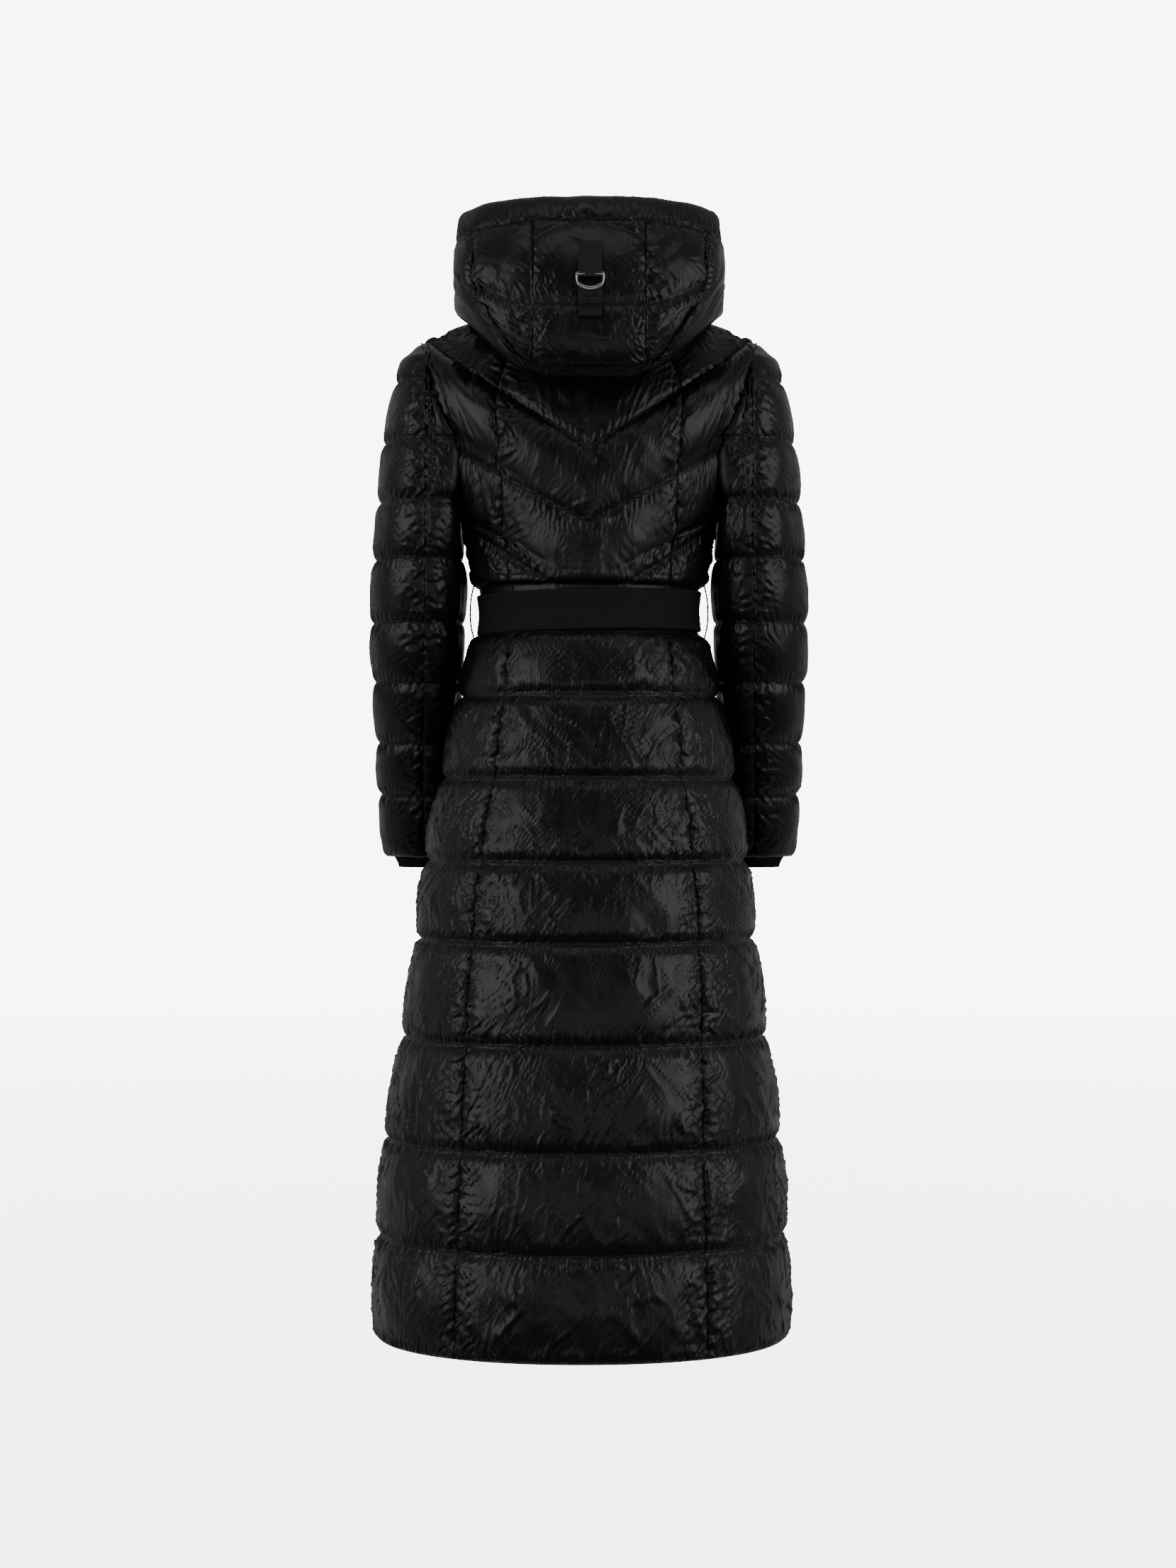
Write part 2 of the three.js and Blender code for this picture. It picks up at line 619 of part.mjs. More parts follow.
// Sleeves: level channels, cut away by the armhole at the top.
const seamAngle = 1.6;
const sleeveSide = { L: 1, R: -1 };
const topAngle = 0.84;
const sleeveGap = 1.6;
function sectionAt(angle, z) {
  const seam = atLevel(sleeveRows, "seamX", z);
  const out = atLevel(sleeveRows, "outX", z) - seam;
  const inward = seam - atLevel(sleeveRows, "inX", z);
  const cosine = Math.cos(angle);
  const sine = Math.sin(angle);
  const depth = atLevel(sleeveRows, "halfDepth", z);
  const point = new THREE.Vector3(
    seam + (cosine > 0 ? out * cosine : inward * cosine),
    atLevel(sleeveRows, "midY", z) + depth * sine,
    z,
  );
  return point;
}
function settled(point, extra) {
  const reach = bodyReach(point.y, point.z) + extra;
  const share = smooth(-point.z, 240, 300);
  if (point.x < reach) point.x = mix(point.x, reach, share);
  return point;
}
function loopAngleAt(z) {
  const middle = (armhole.topZ + armhole.lowZ) / 2;
  return Math.acos(clamp((z - middle) / ((armhole.topZ - armhole.lowZ) / 2), -1, 1));
}
function armholeEdge(angle) {
  const point = armholeAt(Math.abs(angle));
  if (angle < 0) point.y *= -1;
  point.x += mix(sleeveGap, 2 * wallOut + sleeveGap, smooth(Math.abs(angle), 1.7, 2.7));
  return point;
}
// The outer panel: angle runs from the back seam round the outside to the front seam.
function sleeveOuterAt(angle, z) {
  const point = sectionAt(angle, z);
  const held = 1 - smooth(-z, -startZ, -startZ + 22);
  const loop = armholeEdge(Math.sign(angle) * Math.min(loopAngleAt(z), topAngle));
  if (z < startZ) {
    const low = armholeEdge(Math.sign(angle) * topAngle);
    loop.set(low.x, low.y, z);
  }
  const share = smooth(Math.abs(angle), 0.5, seamAngle);
  return point.lerp(loop, held * share);
}
// The under panel: turn runs from the back seam, under the arm, to the front seam.
function sleeveUnderAt(turn, z) {
  const angle = mix(seamAngle, 2 * Math.PI - seamAngle, turn);
  const top = armholeEdge(underAngle(turn));
  const level = Math.min(z, top.z);
  const share = smooth(top.z - level, 0, top.z + 330) ** 0.8;
  const edgeTurn = Math.min(turn, 1 - turn);
  const seamPoint = sleeveOuterAt(angle > Math.PI ? -seamAngle : seamAngle, level);
  const free = sectionAt(angle, level);
  free.lerp(seamPoint, 1 - smooth(edgeTurn, 0, 0.06));
  const point = new THREE.Vector3(
    mix(top.x, free.x, share),
    mix(top.y, free.y, share),
    level,
  );
  const joined = 1 - smooth(edgeTurn, 0, 0.1);
  return point.lerp(seamPoint, joined);
}
const sleeveInside = (z) =>
  new THREE.Vector3(atLevel(sleeveRows, "seamX", z) + 6, atLevel(sleeveRows, "midY", z), z);

const startZ = armholeEdge(topAngle).z;
// The angle on the armhole at a place across the under panel, minus on the front.
const underAngle = (turn) => {
  const angle = mix(topAngle, 2 * Math.PI - topAngle, turn);
  return angle > Math.PI ? angle - 2 * Math.PI : angle;
};

function sleevePuffAt(z) {
  const index = sleeveSeams.findIndex((seam, i) => i > 0 && z >= seam);
  if (index < 1) return 0;
  const share = (sleeveSeams[index - 1] - z) / (sleeveSeams[index - 1] - sleeveSeams[index]);
  return sleevePuff * pillow(share);
}
const sleeveLevels = (steps) => {
  const levels = [];
  for (let i = 0; i < sleeveSeams.length - 1; i += 1) {
    levels.push(...steps.map((step) => mix(sleeveSeams[i], sleeveSeams[i + 1], step)));
  }
  levels.push(wristZ);
  return levels;
};
function addSleevePanel(name, side, surface, lowAt, highAt, columns, innerColumns, under) {
  const gap = seamGap / 2;
  const place = (share, z, offset) => {
    const at = mix(lowAt, highAt, share);
    const point = surface(at, z);
    const stepped = clamp(z, wristZ + 1, armhole.topZ - 1.5);
    let normal = normalOf(surface, at, Math.min(stepped, point.z - 1), sleeveInside(z));
    const front = share > 0.5;
    const onSeam = share === 0 || share === 1;
    if (onSeam && z < startZ) normal = new THREE.Vector3(0, front ? -1 : 1, 0);
    if (under && z >= armholeEdge(underAngle(share)).z - 1e-6) {
      normal = armholeNormal(underAngle(share), normal, 1);
    }
    if (!under && onSeam && z >= startZ) {
      normal = armholeNormal(loopAngleAt(z) * (front ? -1 : 1), normal, 1);
    }
    if (share === 0 || share === 1) {
      const inward = surface(mix(lowAt, highAt, share === 0 ? 0.02 : 0.98), z).sub(point);
      const along = surface(at, Math.max(z - 1, wristZ)).sub(surface(at, Math.max(z - 1, wristZ) + 2));
      along.normalize();
      inward.addScaledVector(along, -inward.dot(along));
      if (inward.length() > 1e-3) point.addScaledVector(inward.normalize(), gap);
    }
    const faces = under ? 1 - 0.75 * smooth(Math.min(share, 1 - share), 0.15, 0.35) : 1;
    const fade = 0.35 + 0.65 * gathered(share);
    const fromTop = under && !onSeam ? smooth(surface(at, 0).z - z, 0, 30) : 1;
    point.addScaledVector(normal, offset < 0 ? offset : offset + sleevePuffAt(z) * fade * faces * fromTop);
    if (under) settled(point, offset < 0 ? wallOut + wallIn + 0.6 : 0.6);
    point.x *= side;
    return point;
  };
  const outerLevels = [armhole.topZ, -36, -45, -54, startZ, -72, ...sleeveLevels(inChannel).slice(4)];
  const innerLevels = [armhole.topZ, -45, startZ, ...sleeveLevels([0, 0.5]).slice(2)];
  const outer = outerLevels.map((z) => columns.map((share) => place(share, z, wallOut)));
  const inner = innerLevels.map((z) => innerColumns.map((share) => place(share, z, -wallIn)));
  const at = { rows: outerLevels, innerRows: innerLevels, columns, innerColumns };
  coat.add(solidFrom(name, outer, inner, false, at));
}
const sleeveOuterInner = [0, 0.2, 0.35, 0.5, 0.65, 0.8, 1];
const sleeveUnderInner = [0, 0.16, 0.28, 0.4, 0.5, 0.6, 0.72, 0.84, 1];
for (const [hand, side] of Object.entries(sleeveSide)) {
  addSleevePanel(
    `sleeve_outer_${hand}`,
    side,
    sleeveOuterAt,
    seamAngle,
    -seamAngle,
    [0, 0.06, 0.2, 0.35, 0.5, 0.65, 0.8, 0.94, 1],
    sleeveOuterInner,
    false,
  );
  addSleevePanel(
    `sleeve_under_${hand}`,
    side,
    sleeveUnderAt,
    0,
    1,
    [0, 0.07, 0.16, 0.28, 0.4, 0.5, 0.6, 0.72, 0.84, 0.93, 1],
    sleeveUnderInner,
    true,
  );
}

// Knit cuffs, sewn inside the sleeve ends and drawn in below them.
const cuff = { topZ: -618, midZ: -636, lowZ: -664, wall: 2 };
const cuffAngles = [
  ...sleeveOuterInner.slice(0, -1).map((share) => mix(seamAngle, -seamAngle, share)),
  ...sleeveUnderInner.slice(0, -1).map((turn) => mix(-seamAngle, -2 * Math.PI + seamAngle, turn)),
  seamAngle,
];
for (const [hand, side] of Object.entries(sleeveSide)) {
  const ringAt = (z, inset) =>
    cuffAngles.map((angle) => {
      const level = Math.max(z, wristZ);
      const point = sectionAt(angle, level);
      const centre = new THREE.Vector3(207, atLevel(sleeveRows, "midY", level), level);
      const drawnIn = wallIn + 0.5 + 9 * smooth(-z, -cuff.midZ + 6, -cuff.lowZ) + inset;
      const outward = point.clone().sub(centre);
      point.addScaledVector(outward.normalize(), -drawnIn);
      return point.set(side * point.x, point.y, z);
    });
  const levels = [cuff.topZ, cuff.midZ, -650, -657, cuff.lowZ];
  const outer = levels.map((z) => ringAt(z, 0));
  const inner = levels.map((z) => ringAt(z, cuff.wall));
  coat.add(solidFrom(`cuff_knit_${hand}`, outer, inner, true));
}

// Hood: a bag that hangs down the back, open at the top, with the collar round the front.
function hoodAt(across, row) {
  const angle = (Math.abs(across) * Math.PI) / 2;
  const front = Math.abs(across) > 1;
  const value = (name) => column(hoodRows, name, row);
  const sine = Math.abs(Math.sin(angle));
  const cosine = Math.abs(Math.cos(angle));
  const square = front ? 1 : mix(1, 0.72, smooth(row, 0, 3));
  const x = value("sideX") * sine ** (front ? 0.95 : square);
  const middleY = value("sideY");
  const y = front
    ? middleY + (value("frontY") - middleY) * cosine ** 1.15
    : middleY + (value("backY") - middleY) * cosine ** square;
  const reach = clamp((x - value("level")) / (value("sideX") - value("level")), 0, 1);
  const z = front
    ? mix(value("frontZ"), value("sideZ"), sine ** 1.4)
    : mix(value("backZ"), value("sideZ"), reach ** 1.7);
  const point = new THREE.Vector3(across < 0 ? -x : x, y, z);
  if (row >= 1) return point;
  const neck = bodiceAt(across, 4);
  neck.z += neckGap;
  return point.lerp(neck, (1 - row) ** 2);
}
// Inside of the bag: the side away from which the hood's cloth faces.
function hoodNormal(across, row) {
  const place = clamp(Math.abs(across), 0.004, 1.996) * (across < 0 ? -1 : 1);
  const at = clamp(row, 0.02, 8.98);
  const step = 1e-3;
  const along = hoodAt(place + step, at).sub(hoodAt(place - step, at));
  const up = hoodAt(place, at + step).sub(hoodAt(place, at - step));
  const normal = up.cross(along).normalize();
  if (Math.abs(across) < 1e-6 || Math.abs(across) > 2 - 1e-6) normal.x = 0;
  if (row < 0.5) {
    const outward = hoodAt(across, row);
    normal.lerp(outward.setZ(0).normalize(), 1 - smooth(row, 0, 0.5));
  }
  return normal.normalize();
}
const hoodSeams = [0, 3, 5.2, hoodRim, 9];
const hoodPuffAt = (across, share, row) => {
  const index = hoodSeams.findIndex((seam, i) => i > 0 && row <= seam + 1e-9);
  const low = hoodSeams[index - 1];
  const part = (row - low) / (hoodSeams[index] - low);
  const height = [0.15, 1, 1, 0.7][index - 1] * hoodPuff;
  return height * pillow(part) * (0.4 + 0.6 * gathered(share)) * flatAt(hoodAt, across, row);
};
const crownSeam = (row) => acrossAt(hoodAt, row, column(hoodRows, "crownX", row));
const centreSeam = (row) =>
  acrossAt(hoodAt, row, Math.min(crownCentreX, 0.55 * column(hoodRows, "crownX", row)));
const hoodOuter = [0, 0.5, 1, 2, 2.6, 3, 3.3, 4.1, 4.9, 5.2, 5.45, 6.1, 6.75, hoodRim];
const hoodInner = [0, 1, 2, 3, 4.1, 5.2, 6.1, hoodRim];
const hoodPanel = {
  pointAt: hoodAt,
  normalAt: hoodNormal,
  rows: hoodOuter,
  innerRows: hoodInner,
  columns: [0, 0.1, 0.35, 0.65, 0.9, 1],
  innerColumns: [0, 0.1, 0.35, 0.65, 0.9, 1],
  gap: hoodGap,
  puffAt: hoodPuffAt,
};
const hoodCentreColumns = [0, 0.08, 0.28, 0.5, 0.72, 0.92, 1];
const hoodSideColumns = [0, 0.05, 0.13, 0.22, 0.34, 0.46, 0.58, 0.68, 0.78, flatShare, 1];
addPanel("hood_crown_centre", {
  ...hoodPanel,
  columns: hoodCentreColumns,
  innerColumns: hoodCentreColumns,
  fromOf: (row) => -centreSeam(row),
  toOf: centreSeam,
});
addPanel("hood_crown_side_L", { ...hoodPanel, fromOf: centreSeam, toOf: crownSeam });
addPanel("hood_crown_side_R", {
  ...hoodPanel,
  fromOf: (row) => -crownSeam(row),
  toOf: (row) => -centreSeam(row),
});
addPanel("hood_side_L", {
  ...hoodPanel,
  columns: hoodSideColumns,
  innerColumns: hoodSideColumns,
  fromOf: crownSeam,
  toOf: () => 2,
  warp: warpLeft(hoodAt, crownSeam),
});
addPanel("hood_side_R", {
  ...hoodPanel,
  columns: mirrored(hoodSideColumns),
  innerColumns: mirrored(hoodSideColumns),
  fromOf: () => -2,
  toOf: (row) => -crownSeam(row),
  warp: warpRight(hoodAt, crownSeam),
});
// The rim meets the panels column by column.
const rimShares = (centre, crownSide, side) => {
  const ahead = [
    ...centre.filter((share) => share > 0.5).map((share) => mix(0, centreSeam(hoodRim), 2 * share - 1)),
    ...crownSide.slice(1).map((share) => mix(centreSeam(hoodRim), crownSeam(hoodRim), share)),
    ...side.slice(1).map((share) =>
      mix(crownSeam(hoodRim), 2, warpLeft(hoodAt, crownSeam)(share, hoodRim)),
    ),
  ];
  return [...ahead.map((across) => -across).reverse(), 0, ...ahead].map((across) => (across + 2) / 4);
};
addPanel("hood_rim", {
  ...hoodPanel,
  rows: [hoodRim, 7.3, 8, 8.6, 9],
  innerRows: [hoodRim, 8, 9],
  columns: rimShares(hoodCentreColumns, hoodPanel.columns, hoodSideColumns),
  innerColumns: rimShares(hoodCentreColumns, hoodPanel.columns, hoodSideColumns),
  fromOf: () => -2,
  toOf: () => 2,
  puffAt: (across, share, row) => hoodPuffAt(across, 0.5, row),
});

// A strip laid on a surface: its inner and outer faces stand off by two heights, and it runs
// along a list of [surface, normal, row, lift] stations between two distances from the middle.
function addStrip(name, stations, xs, low, high, acrossOf) {
  const face = (height) =>
    stations.map((station) =>
      xs.map((x) => {
        const across = acrossOf(station.surface, station.row, x);
        const point = station.surface(across, station.row);
        return point.addScaledVector(station.normal(across, station.row), height + station.lift);
      }),
    );
  coat.add(solidFrom(name, face(high), face(low), false));
}

// Fly: a flat strip over the closed front edges, from the hem to the top of the collar.
const flyWall = 3;
const flyColumns = [-flyHalfWidth, -12, 0, 12, flyHalfWidth];
const onFront = (surface, row, x) => {
  const size = 2 - frontAcrossAt(surface, row, Math.abs(x));
  return x < 0 ? -(2 - size) : 2 - size;
};
const skirtStation = (row) => ({
  surface: skirtAt,
  normal: skirtNormal,
  row,
  lift: row < 1 ? 0.9 : 0,
});
const bodiceStation = (row) => {
  const lift = row < 1.2 || row > 3.5 ? 0.9 : 0;
  return { surface: bodiceAt, normal: bodiceNormal, row, lift };
};
const hoodStation = (row, lift = 0) => ({ surface: hoodAt, normal: hoodNormal, row, lift });
addStrip(
  "front_fly",
  [
    ...[...skirtOuter].reverse().map(skirtStation),
    ...[...bodiceOuter].reverse().slice(1, -1).map(bodiceStation),
    ...[...hoodOuter, 7.3, 8].map((row) => hoodStation(row, row < 1.5 ? 0.5 : 0)),
  ],
  flyColumns,
  wallOut + laidOver,
  wallOut + laidOver + flyWall,
  onFront,
);

// Belt: a woven band round the waist, lifted over the fly, lapped in front.
const beltWall = 2.4;
const beltLevels = [beltTopZ, waistZ, beltBottomZ];
const beltHalfWidths = [133.2, 130.6, 133];
const beltHalfDepths = [113.8, 110.8, 110.2];
function beltPoint(angle, level, offset) {
  const overFly = 1 - smooth(Math.abs(angle), Math.PI - 0.34, Math.PI - 0.24);
  const lift = offset + (1 - overFly) * (flyWall + laidOver + 0.8);
  return new THREE.Vector3(
    (beltHalfWidths[level] + lift) * Math.sin(angle),
    (beltHalfDepths[level] + lift) * Math.cos(angle),
    beltLevels[level],
  );
}
function addBand(name, fromAngle, toAngle, count, low, high) {
  const face = (offset) =>
    beltLevels.map((z, level) =>
      Array.from({ length: count + 1 }, (_, i) =>
        beltPoint(mix(fromAngle, toAngle, i / count), level, offset),
      ),
    );
  coat.add(solidFrom(name, face(high), face(low), false));
}
const beltJoint = Math.PI - 0.0015;
addBand("belt", -beltJoint, beltJoint, 72, 0, beltWall);
const beltStep = (2 * beltJoint) / 72;
addBand("belt_end", Math.PI - 4 * beltStep, Math.PI + 7 * beltStep, 11, beltWall + laidOver, 2 * beltWall + laidOver);

// A round cord or wire along a path of points.
function addWire(name, path, radius, sides, closed) {
  const curve = new THREE.CatmullRomCurve3(path, closed, "centripetal");
  const steps = closed ? 24 : 12;
  const frames = curve.computeFrenetFrames(steps, closed);
  const rings = [];
  for (let i = 0; i <= steps; i += 1) {
    const centre = curve.getPointAt(i / steps);
    const at = closed ? i % steps : i;
    const middle = closed && i === steps ? curve.getPointAt(0) : centre;
    rings.push(
      Array.from({ length: sides }, (_, j) => {
        const angle = (j / sides) * 2 * Math.PI;
        return middle
          .clone()
          .addScaledVector(frames.normals[at], radius * Math.cos(angle))
          .addScaledVector(frames.binormals[at], radius * Math.sin(angle));
      }),
    );
  }
  const points = [];
  const triangles = [];
  const count = closed ? steps : steps + 1;
  for (let i = 0; i < count; i += 1) rings[i].forEach((p) => points.push(p.x, p.y, p.z));
  for (let i = 0; i < steps; i += 1) {
    const next = (i + 1) % count;
    for (let j = 0; j < sides; j += 1) {
      const k = (j + 1) % sides;
      const [a, b, c, d] = [i * sides + j, i * sides + k, next * sides + k, next * sides + j];
      triangles.push(a, b, c, a, c, d);
    }
  }
  if (!closed) {
    for (let j = 1; j < sides - 1; j += 1) {
      triangles.push(0, j + 1, j);
      const end = steps * sides;
      triangles.push(end, end + j, end + j + 1);
    }
  }
  coat.add(meshFrom(name, points, triangles));
}

// Thread loops that hold the belt at the side seams.
const loopReach = 143;
for (const [hand, side] of Object.entries(sleeveSide)) {
  addWire(
    `belt_loop_${hand}`,
    [
      new THREE.Vector3(side * 136.6, 0, -318),
      new THREE.Vector3(side * 140, 0, -326),
      new THREE.Vector3(side * loopReach, 0, -344),
      new THREE.Vector3(side * loopReach, 0, -366),
      new THREE.Vector3(side * 139.5, 0, -384),
      new THREE.Vector3(side * 137.4, 0, -392),
    ],
    0.9,
    6,
    false,
  );
}

// Hood strap: it comes down the middle of the crown to two D-rings on a sewn patch.
const strapFrom = -15;
const strapTo = 12.5;
const strapWall = 2;
const onBack = (surface, row, x) => {
  const size = acrossAt(surface, row, Math.abs(x));
  return x < 0 ? -size : size;
};
const strapColumns = [strapFrom, mix(strapFrom, strapTo, 0.5), strapTo];
const onPillow = (row, more = 0) => hoodStation(row, hoodPuffAt(0, 0.5, row) + more);
addStrip(
  "hood_strap",
  [6.4, 6.25, 6.1, 5.95, 5.82].map((row) => onPillow(row)),
  strapColumns,
  wallOut + laidOver,
  wallOut + laidOver + strapWall,
  onBack,
);
addStrip(
  "hood_strap_base",
  [5.5, 5.35, 5.2, 5.1, 4.95].map((row) => onPillow(row, 0.5)),
  strapColumns,
  wallOut + laidOver,
  wallOut + laidOver + strapWall,
  onBack,
);
addStrip(
  "hood_strap_tail",
  [5.42, 5.36, 5.3, 5.24, 5.18].map((row, i) => onPillow(row, 3 + [0, 1.6, 0.6, 1.8, 0.8][i])),
  strapColumns,
  wallOut + laidOver,
  wallOut + laidOver + 2.2,
  onBack,
);
const ringWire = 1.3;
const ringHalfWidth = 15.5;
const ringHeight = 17;
[0, 1].forEach((order) => {
  const row = 5.64;
  const middle = hoodAt(0, row).setX(mix(strapFrom, strapTo, 0.5));
  const normal = hoodNormal(0, row);
  const up = new THREE.Vector3(1, 0, 0).cross(normal).normalize();
  if (up.z < 0) up.negate();
  const lift = wallOut + hoodPuffAt(0, 0.5, row) + 3.2 + order * (2 * ringWire + 0.4);
  const at = (x, height) =>
    middle.clone()
      .addScaledVector(normal, lift)
      .addScaledVector(up, height - order * 3)
      .add(new THREE.Vector3(x, 0, 0));
  const top = ringHeight / 2;
  const outline = [
    [-ringHalfWidth + 1.5, top],
    [0, top],
    [ringHalfWidth - 1.5, top],
    [ringHalfWidth, top - 3],
    [ringHalfWidth - 2, top - 11],
    [ringHalfWidth * 0.5, top - ringHeight + 1.5],
    [0, top - ringHeight],
    [-ringHalfWidth * 0.5, top - ringHeight + 1.5],
    [-ringHalfWidth + 2, top - 11],
    [-ringHalfWidth, top - 3],
  ];
  addWire(`hood_ring_${order + 1}`, outline.map(([x, h]) => at(x, h)), ringWire, 8, true);
});

export default coat;
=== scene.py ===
import bpy
import numpy as np
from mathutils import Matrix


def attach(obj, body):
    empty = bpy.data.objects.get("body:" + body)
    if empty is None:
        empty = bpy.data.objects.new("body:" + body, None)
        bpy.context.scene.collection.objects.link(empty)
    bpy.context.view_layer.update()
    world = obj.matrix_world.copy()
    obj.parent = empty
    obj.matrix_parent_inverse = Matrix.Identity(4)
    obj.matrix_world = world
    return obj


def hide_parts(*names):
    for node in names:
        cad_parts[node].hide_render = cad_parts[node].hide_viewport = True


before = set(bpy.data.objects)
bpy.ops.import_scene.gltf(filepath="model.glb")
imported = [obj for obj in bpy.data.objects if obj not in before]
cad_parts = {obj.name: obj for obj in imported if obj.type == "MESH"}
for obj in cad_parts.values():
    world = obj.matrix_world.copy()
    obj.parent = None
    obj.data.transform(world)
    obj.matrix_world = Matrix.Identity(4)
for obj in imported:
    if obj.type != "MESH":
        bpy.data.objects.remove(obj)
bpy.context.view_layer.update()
print("frame loaded")

# Sizes are in millimetres until a mesh is made. The front faces -Y, the wearer's left is +X.
coat = {
    "wallOut": 1.5, "wallIn": 1.5,         # half of the cloth wall on each side of its surface
    "laidOver": 0.4,                       # room under a piece that lies on another
    "seamGap": 0.02,                       # between two panels
    "waistX": 127.0, "waistZ": -355.0,
    "pitX": 149.0, "pitZ": -240.0,         # upper end of the side seam, below the armpit
    "shoulderX": 202.0, "shoulderZ": -32.0, "neckX": 78.0, "neckZ": 9.0,
}


# clamp cuts a value off at two limits, smooth rises from 0 to 1 between them on an S curve, and
# mix goes straight from one value to another.
def clamp(value, low, high):
    return np.minimum(np.maximum(value, low), high)


def smooth(value, low, high):
    share = clamp((value - low) / (high - low), 0, 1)
    return share * share * (3 - 2 * share)


def mix(start, end, share):
    return start + (end - start) * share


# Points and directions are arrays whose last axis is x, y, z.
def vector(x, y, z):
    return np.stack(np.broadcast_arrays(x, y, z), axis=-1).astype(float)


def unit(v):
    return v / np.maximum(np.linalg.norm(v, axis=-1, keepdims=True), 1e-9)


def lerp(first, second, share):
    return first + (second - first) * np.asarray(share)[..., None]


# The columns of a list of rows, by name.
def table(names, rows):
    values = np.array(rows, dtype=float)
    return {name: values[:, i] for i, name in enumerate(names.split())}


# A table's column along a smooth curve through all its rows: the cubic with each row's value
# and half the step between its neighbours as the slope there.
def column(rows, name, at):
    values = rows[name]
    values = np.concatenate([[2 * values[0] - values[1]], values, [2 * values[-1] - values[-2]]])
    place = clamp(np.asarray(at, dtype=float), 0, len(values) - 3)
    low = np.minimum(np.floor(place).astype(int), len(values) - 4)
    share = place - low
    before, start, end, after = (values[low + i] for i in range(4))
    square, cube = share**2, share**3
    return (
        start * (2 * cube - 3 * square + 1) + (end - before) / 2 * (cube - 2 * square + share)
        + end * (3 * square - 2 * cube) + (after - start) / 2 * (cube - square)
    )


# The same for a table read at a level z, with slopes from the real distances between levels.
def atLevel(rows, name, z):
    levels, values = rows["z"], rows[name]
    last = len(levels) - 1
    low = np.clip(np.searchsorted(-levels, -np.asarray(z, dtype=float), side="left") - 1, 0, last - 1)
    step = levels[low] - levels[low + 1]
    share = clamp((levels[low] - z) / step, 0, 1)
    order = np.arange(last + 1)
    above, below = np.maximum(order - 1, 0), np.minimum(order + 1, last)
    slopes = (values[below] - values[above]) / (levels[above] - levels[below])
    square, cube = share**2, share**3
    return (
        values[low] * (2 * cube - 3 * square + 1) + slopes[low] * step * (cube - 2 * square + share)
        + values[low + 1] * (3 * square - 2 * cube) + slopes[low + 1] * step * (cube - square)
    )


# Tables of the coat's rows, one row for each quilting seam or measured level.
skirtRows = table("z halfWidth halfDepth seamX lean", [
    (-355, 127, 105, 88, 0), (-382, 129, 106, 88, 0), (-456, 148, 121, 95, 0), (-554, 167, 136, 106, 1),
    (-652, 184, 150, 119, 3), (-746, 194, 161, 127, 4), (-863, 210, 172, 132, 6), (-985, 228, 183, 135, 8),
    (-1100, 236, 191, 139, 9), (-1222, 241, 198, 141, 9),
])
bodiceRows = table("backY backZ frontY frontZ handle outX outY outZ seamX", [
    (105, -355, -105, -355, 70, 0, 57, 0, 88), (106.5, -349, -107, -349, 74, -12, 56, -22, 93),
    (119, -256, -124, -256, 64, -42, 30, -30, 101), (121, -170, -119, -170, 70, -38, 52, -38, 107),
    (62, -8, -74, -52, 42, -6, 34, -8, 62),
])
sleeveRows = table("z seamX outX inX midY halfDepth", [
    (-32, 202, 202.4, 201.8, 0, 0.2), (-38, 200, 209, 199, 0, 26), (-48, 197, 215, 190, 0, 42),
    (-81, 193, 226, 172, 0, 66), (-154, 194, 241, 162, 0, 78), (-224, 195, 247, 163, -1, 75),
    (-292, 196, 253, 155, -6, 68), (-367, 197, 257, 157, -18, 62), (-437, 199, 256, 162, -38, 57),
    (-510, 202, 254, 163, -68, 52), (-573, 204, 253, 164, -95, 48), (-651, 204, 249, 163, -126, 43),
])
sleeveSeams = [-32, -81, -154, -224, -292, -367, -437, -510, -573, -651]
hoodRows = table("backY backZ level sideX sideY sideZ frontY frontZ crownX", [
    (63, -5, 8, 78, 0, 12, -74, -49, 26), (96, -14, 16, 106, 22, 25, -90, -34, 34),
    (124, -52, 24, 132, 50, 14, -99, -18, 48), (142, -84, 34, 148, 70, -4, -105, -3, 62),
    (162, -68, 46, 150, 80, 14, -108, 6, 92), (170, -22, 60, 152, 82, 34, -109, 15, 129),
    (164, 40, 70, 153, 76, 54, -108, 24, 132), (144, 90, 40, 150, 62, 78, -105, 34, 132),
    (124, 115, 60, 145, 50, 107, -99, 50, 124), (108, 104, 60, 134, 46, 98, -90, 44, 116),
])
hoodSeams = [0, 3.6, 5.2, 7, 9]
armhole = {"topZ": -32.0, "lowZ": -215.0, "halfDepth": 72.0, "topX": 202.0, "midX": 158.0, "lowX": 165.0}
sideShare = 0.35       # how much of the bodice's second row is the side seam
chevronAngle = 2.02    # where the middle chevron meets the armhole
seamAngle = 1.6        # the sleeve's two seams
topAngle = 0.84        # where they meet the armhole
frontSide = 1 + 1e-9   # across at the side seam, on its front side


# The armhole: an upright loop, angle 0 at the shoulder point and half a turn at the armpit.
def armholeAt(angle):
    height = np.cos(angle)
    rise, drop = clamp((height + 0.2) / 1.2, 0, 1), clamp((-0.2 - height) / 0.8, 0, 1)
    x = armhole["midX"] + (armhole["topX"] - armhole["midX"]) * rise**0.9
    x = x + (armhole["lowX"] - armhole["midX"]) * drop**2
    middle, half = (armhole["topZ"] + armhole["lowZ"]) / 2, (armhole["topZ"] - armhole["lowZ"]) / 2
    return vector(x, armhole["halfDepth"] * np.sin(angle), middle + half * height)


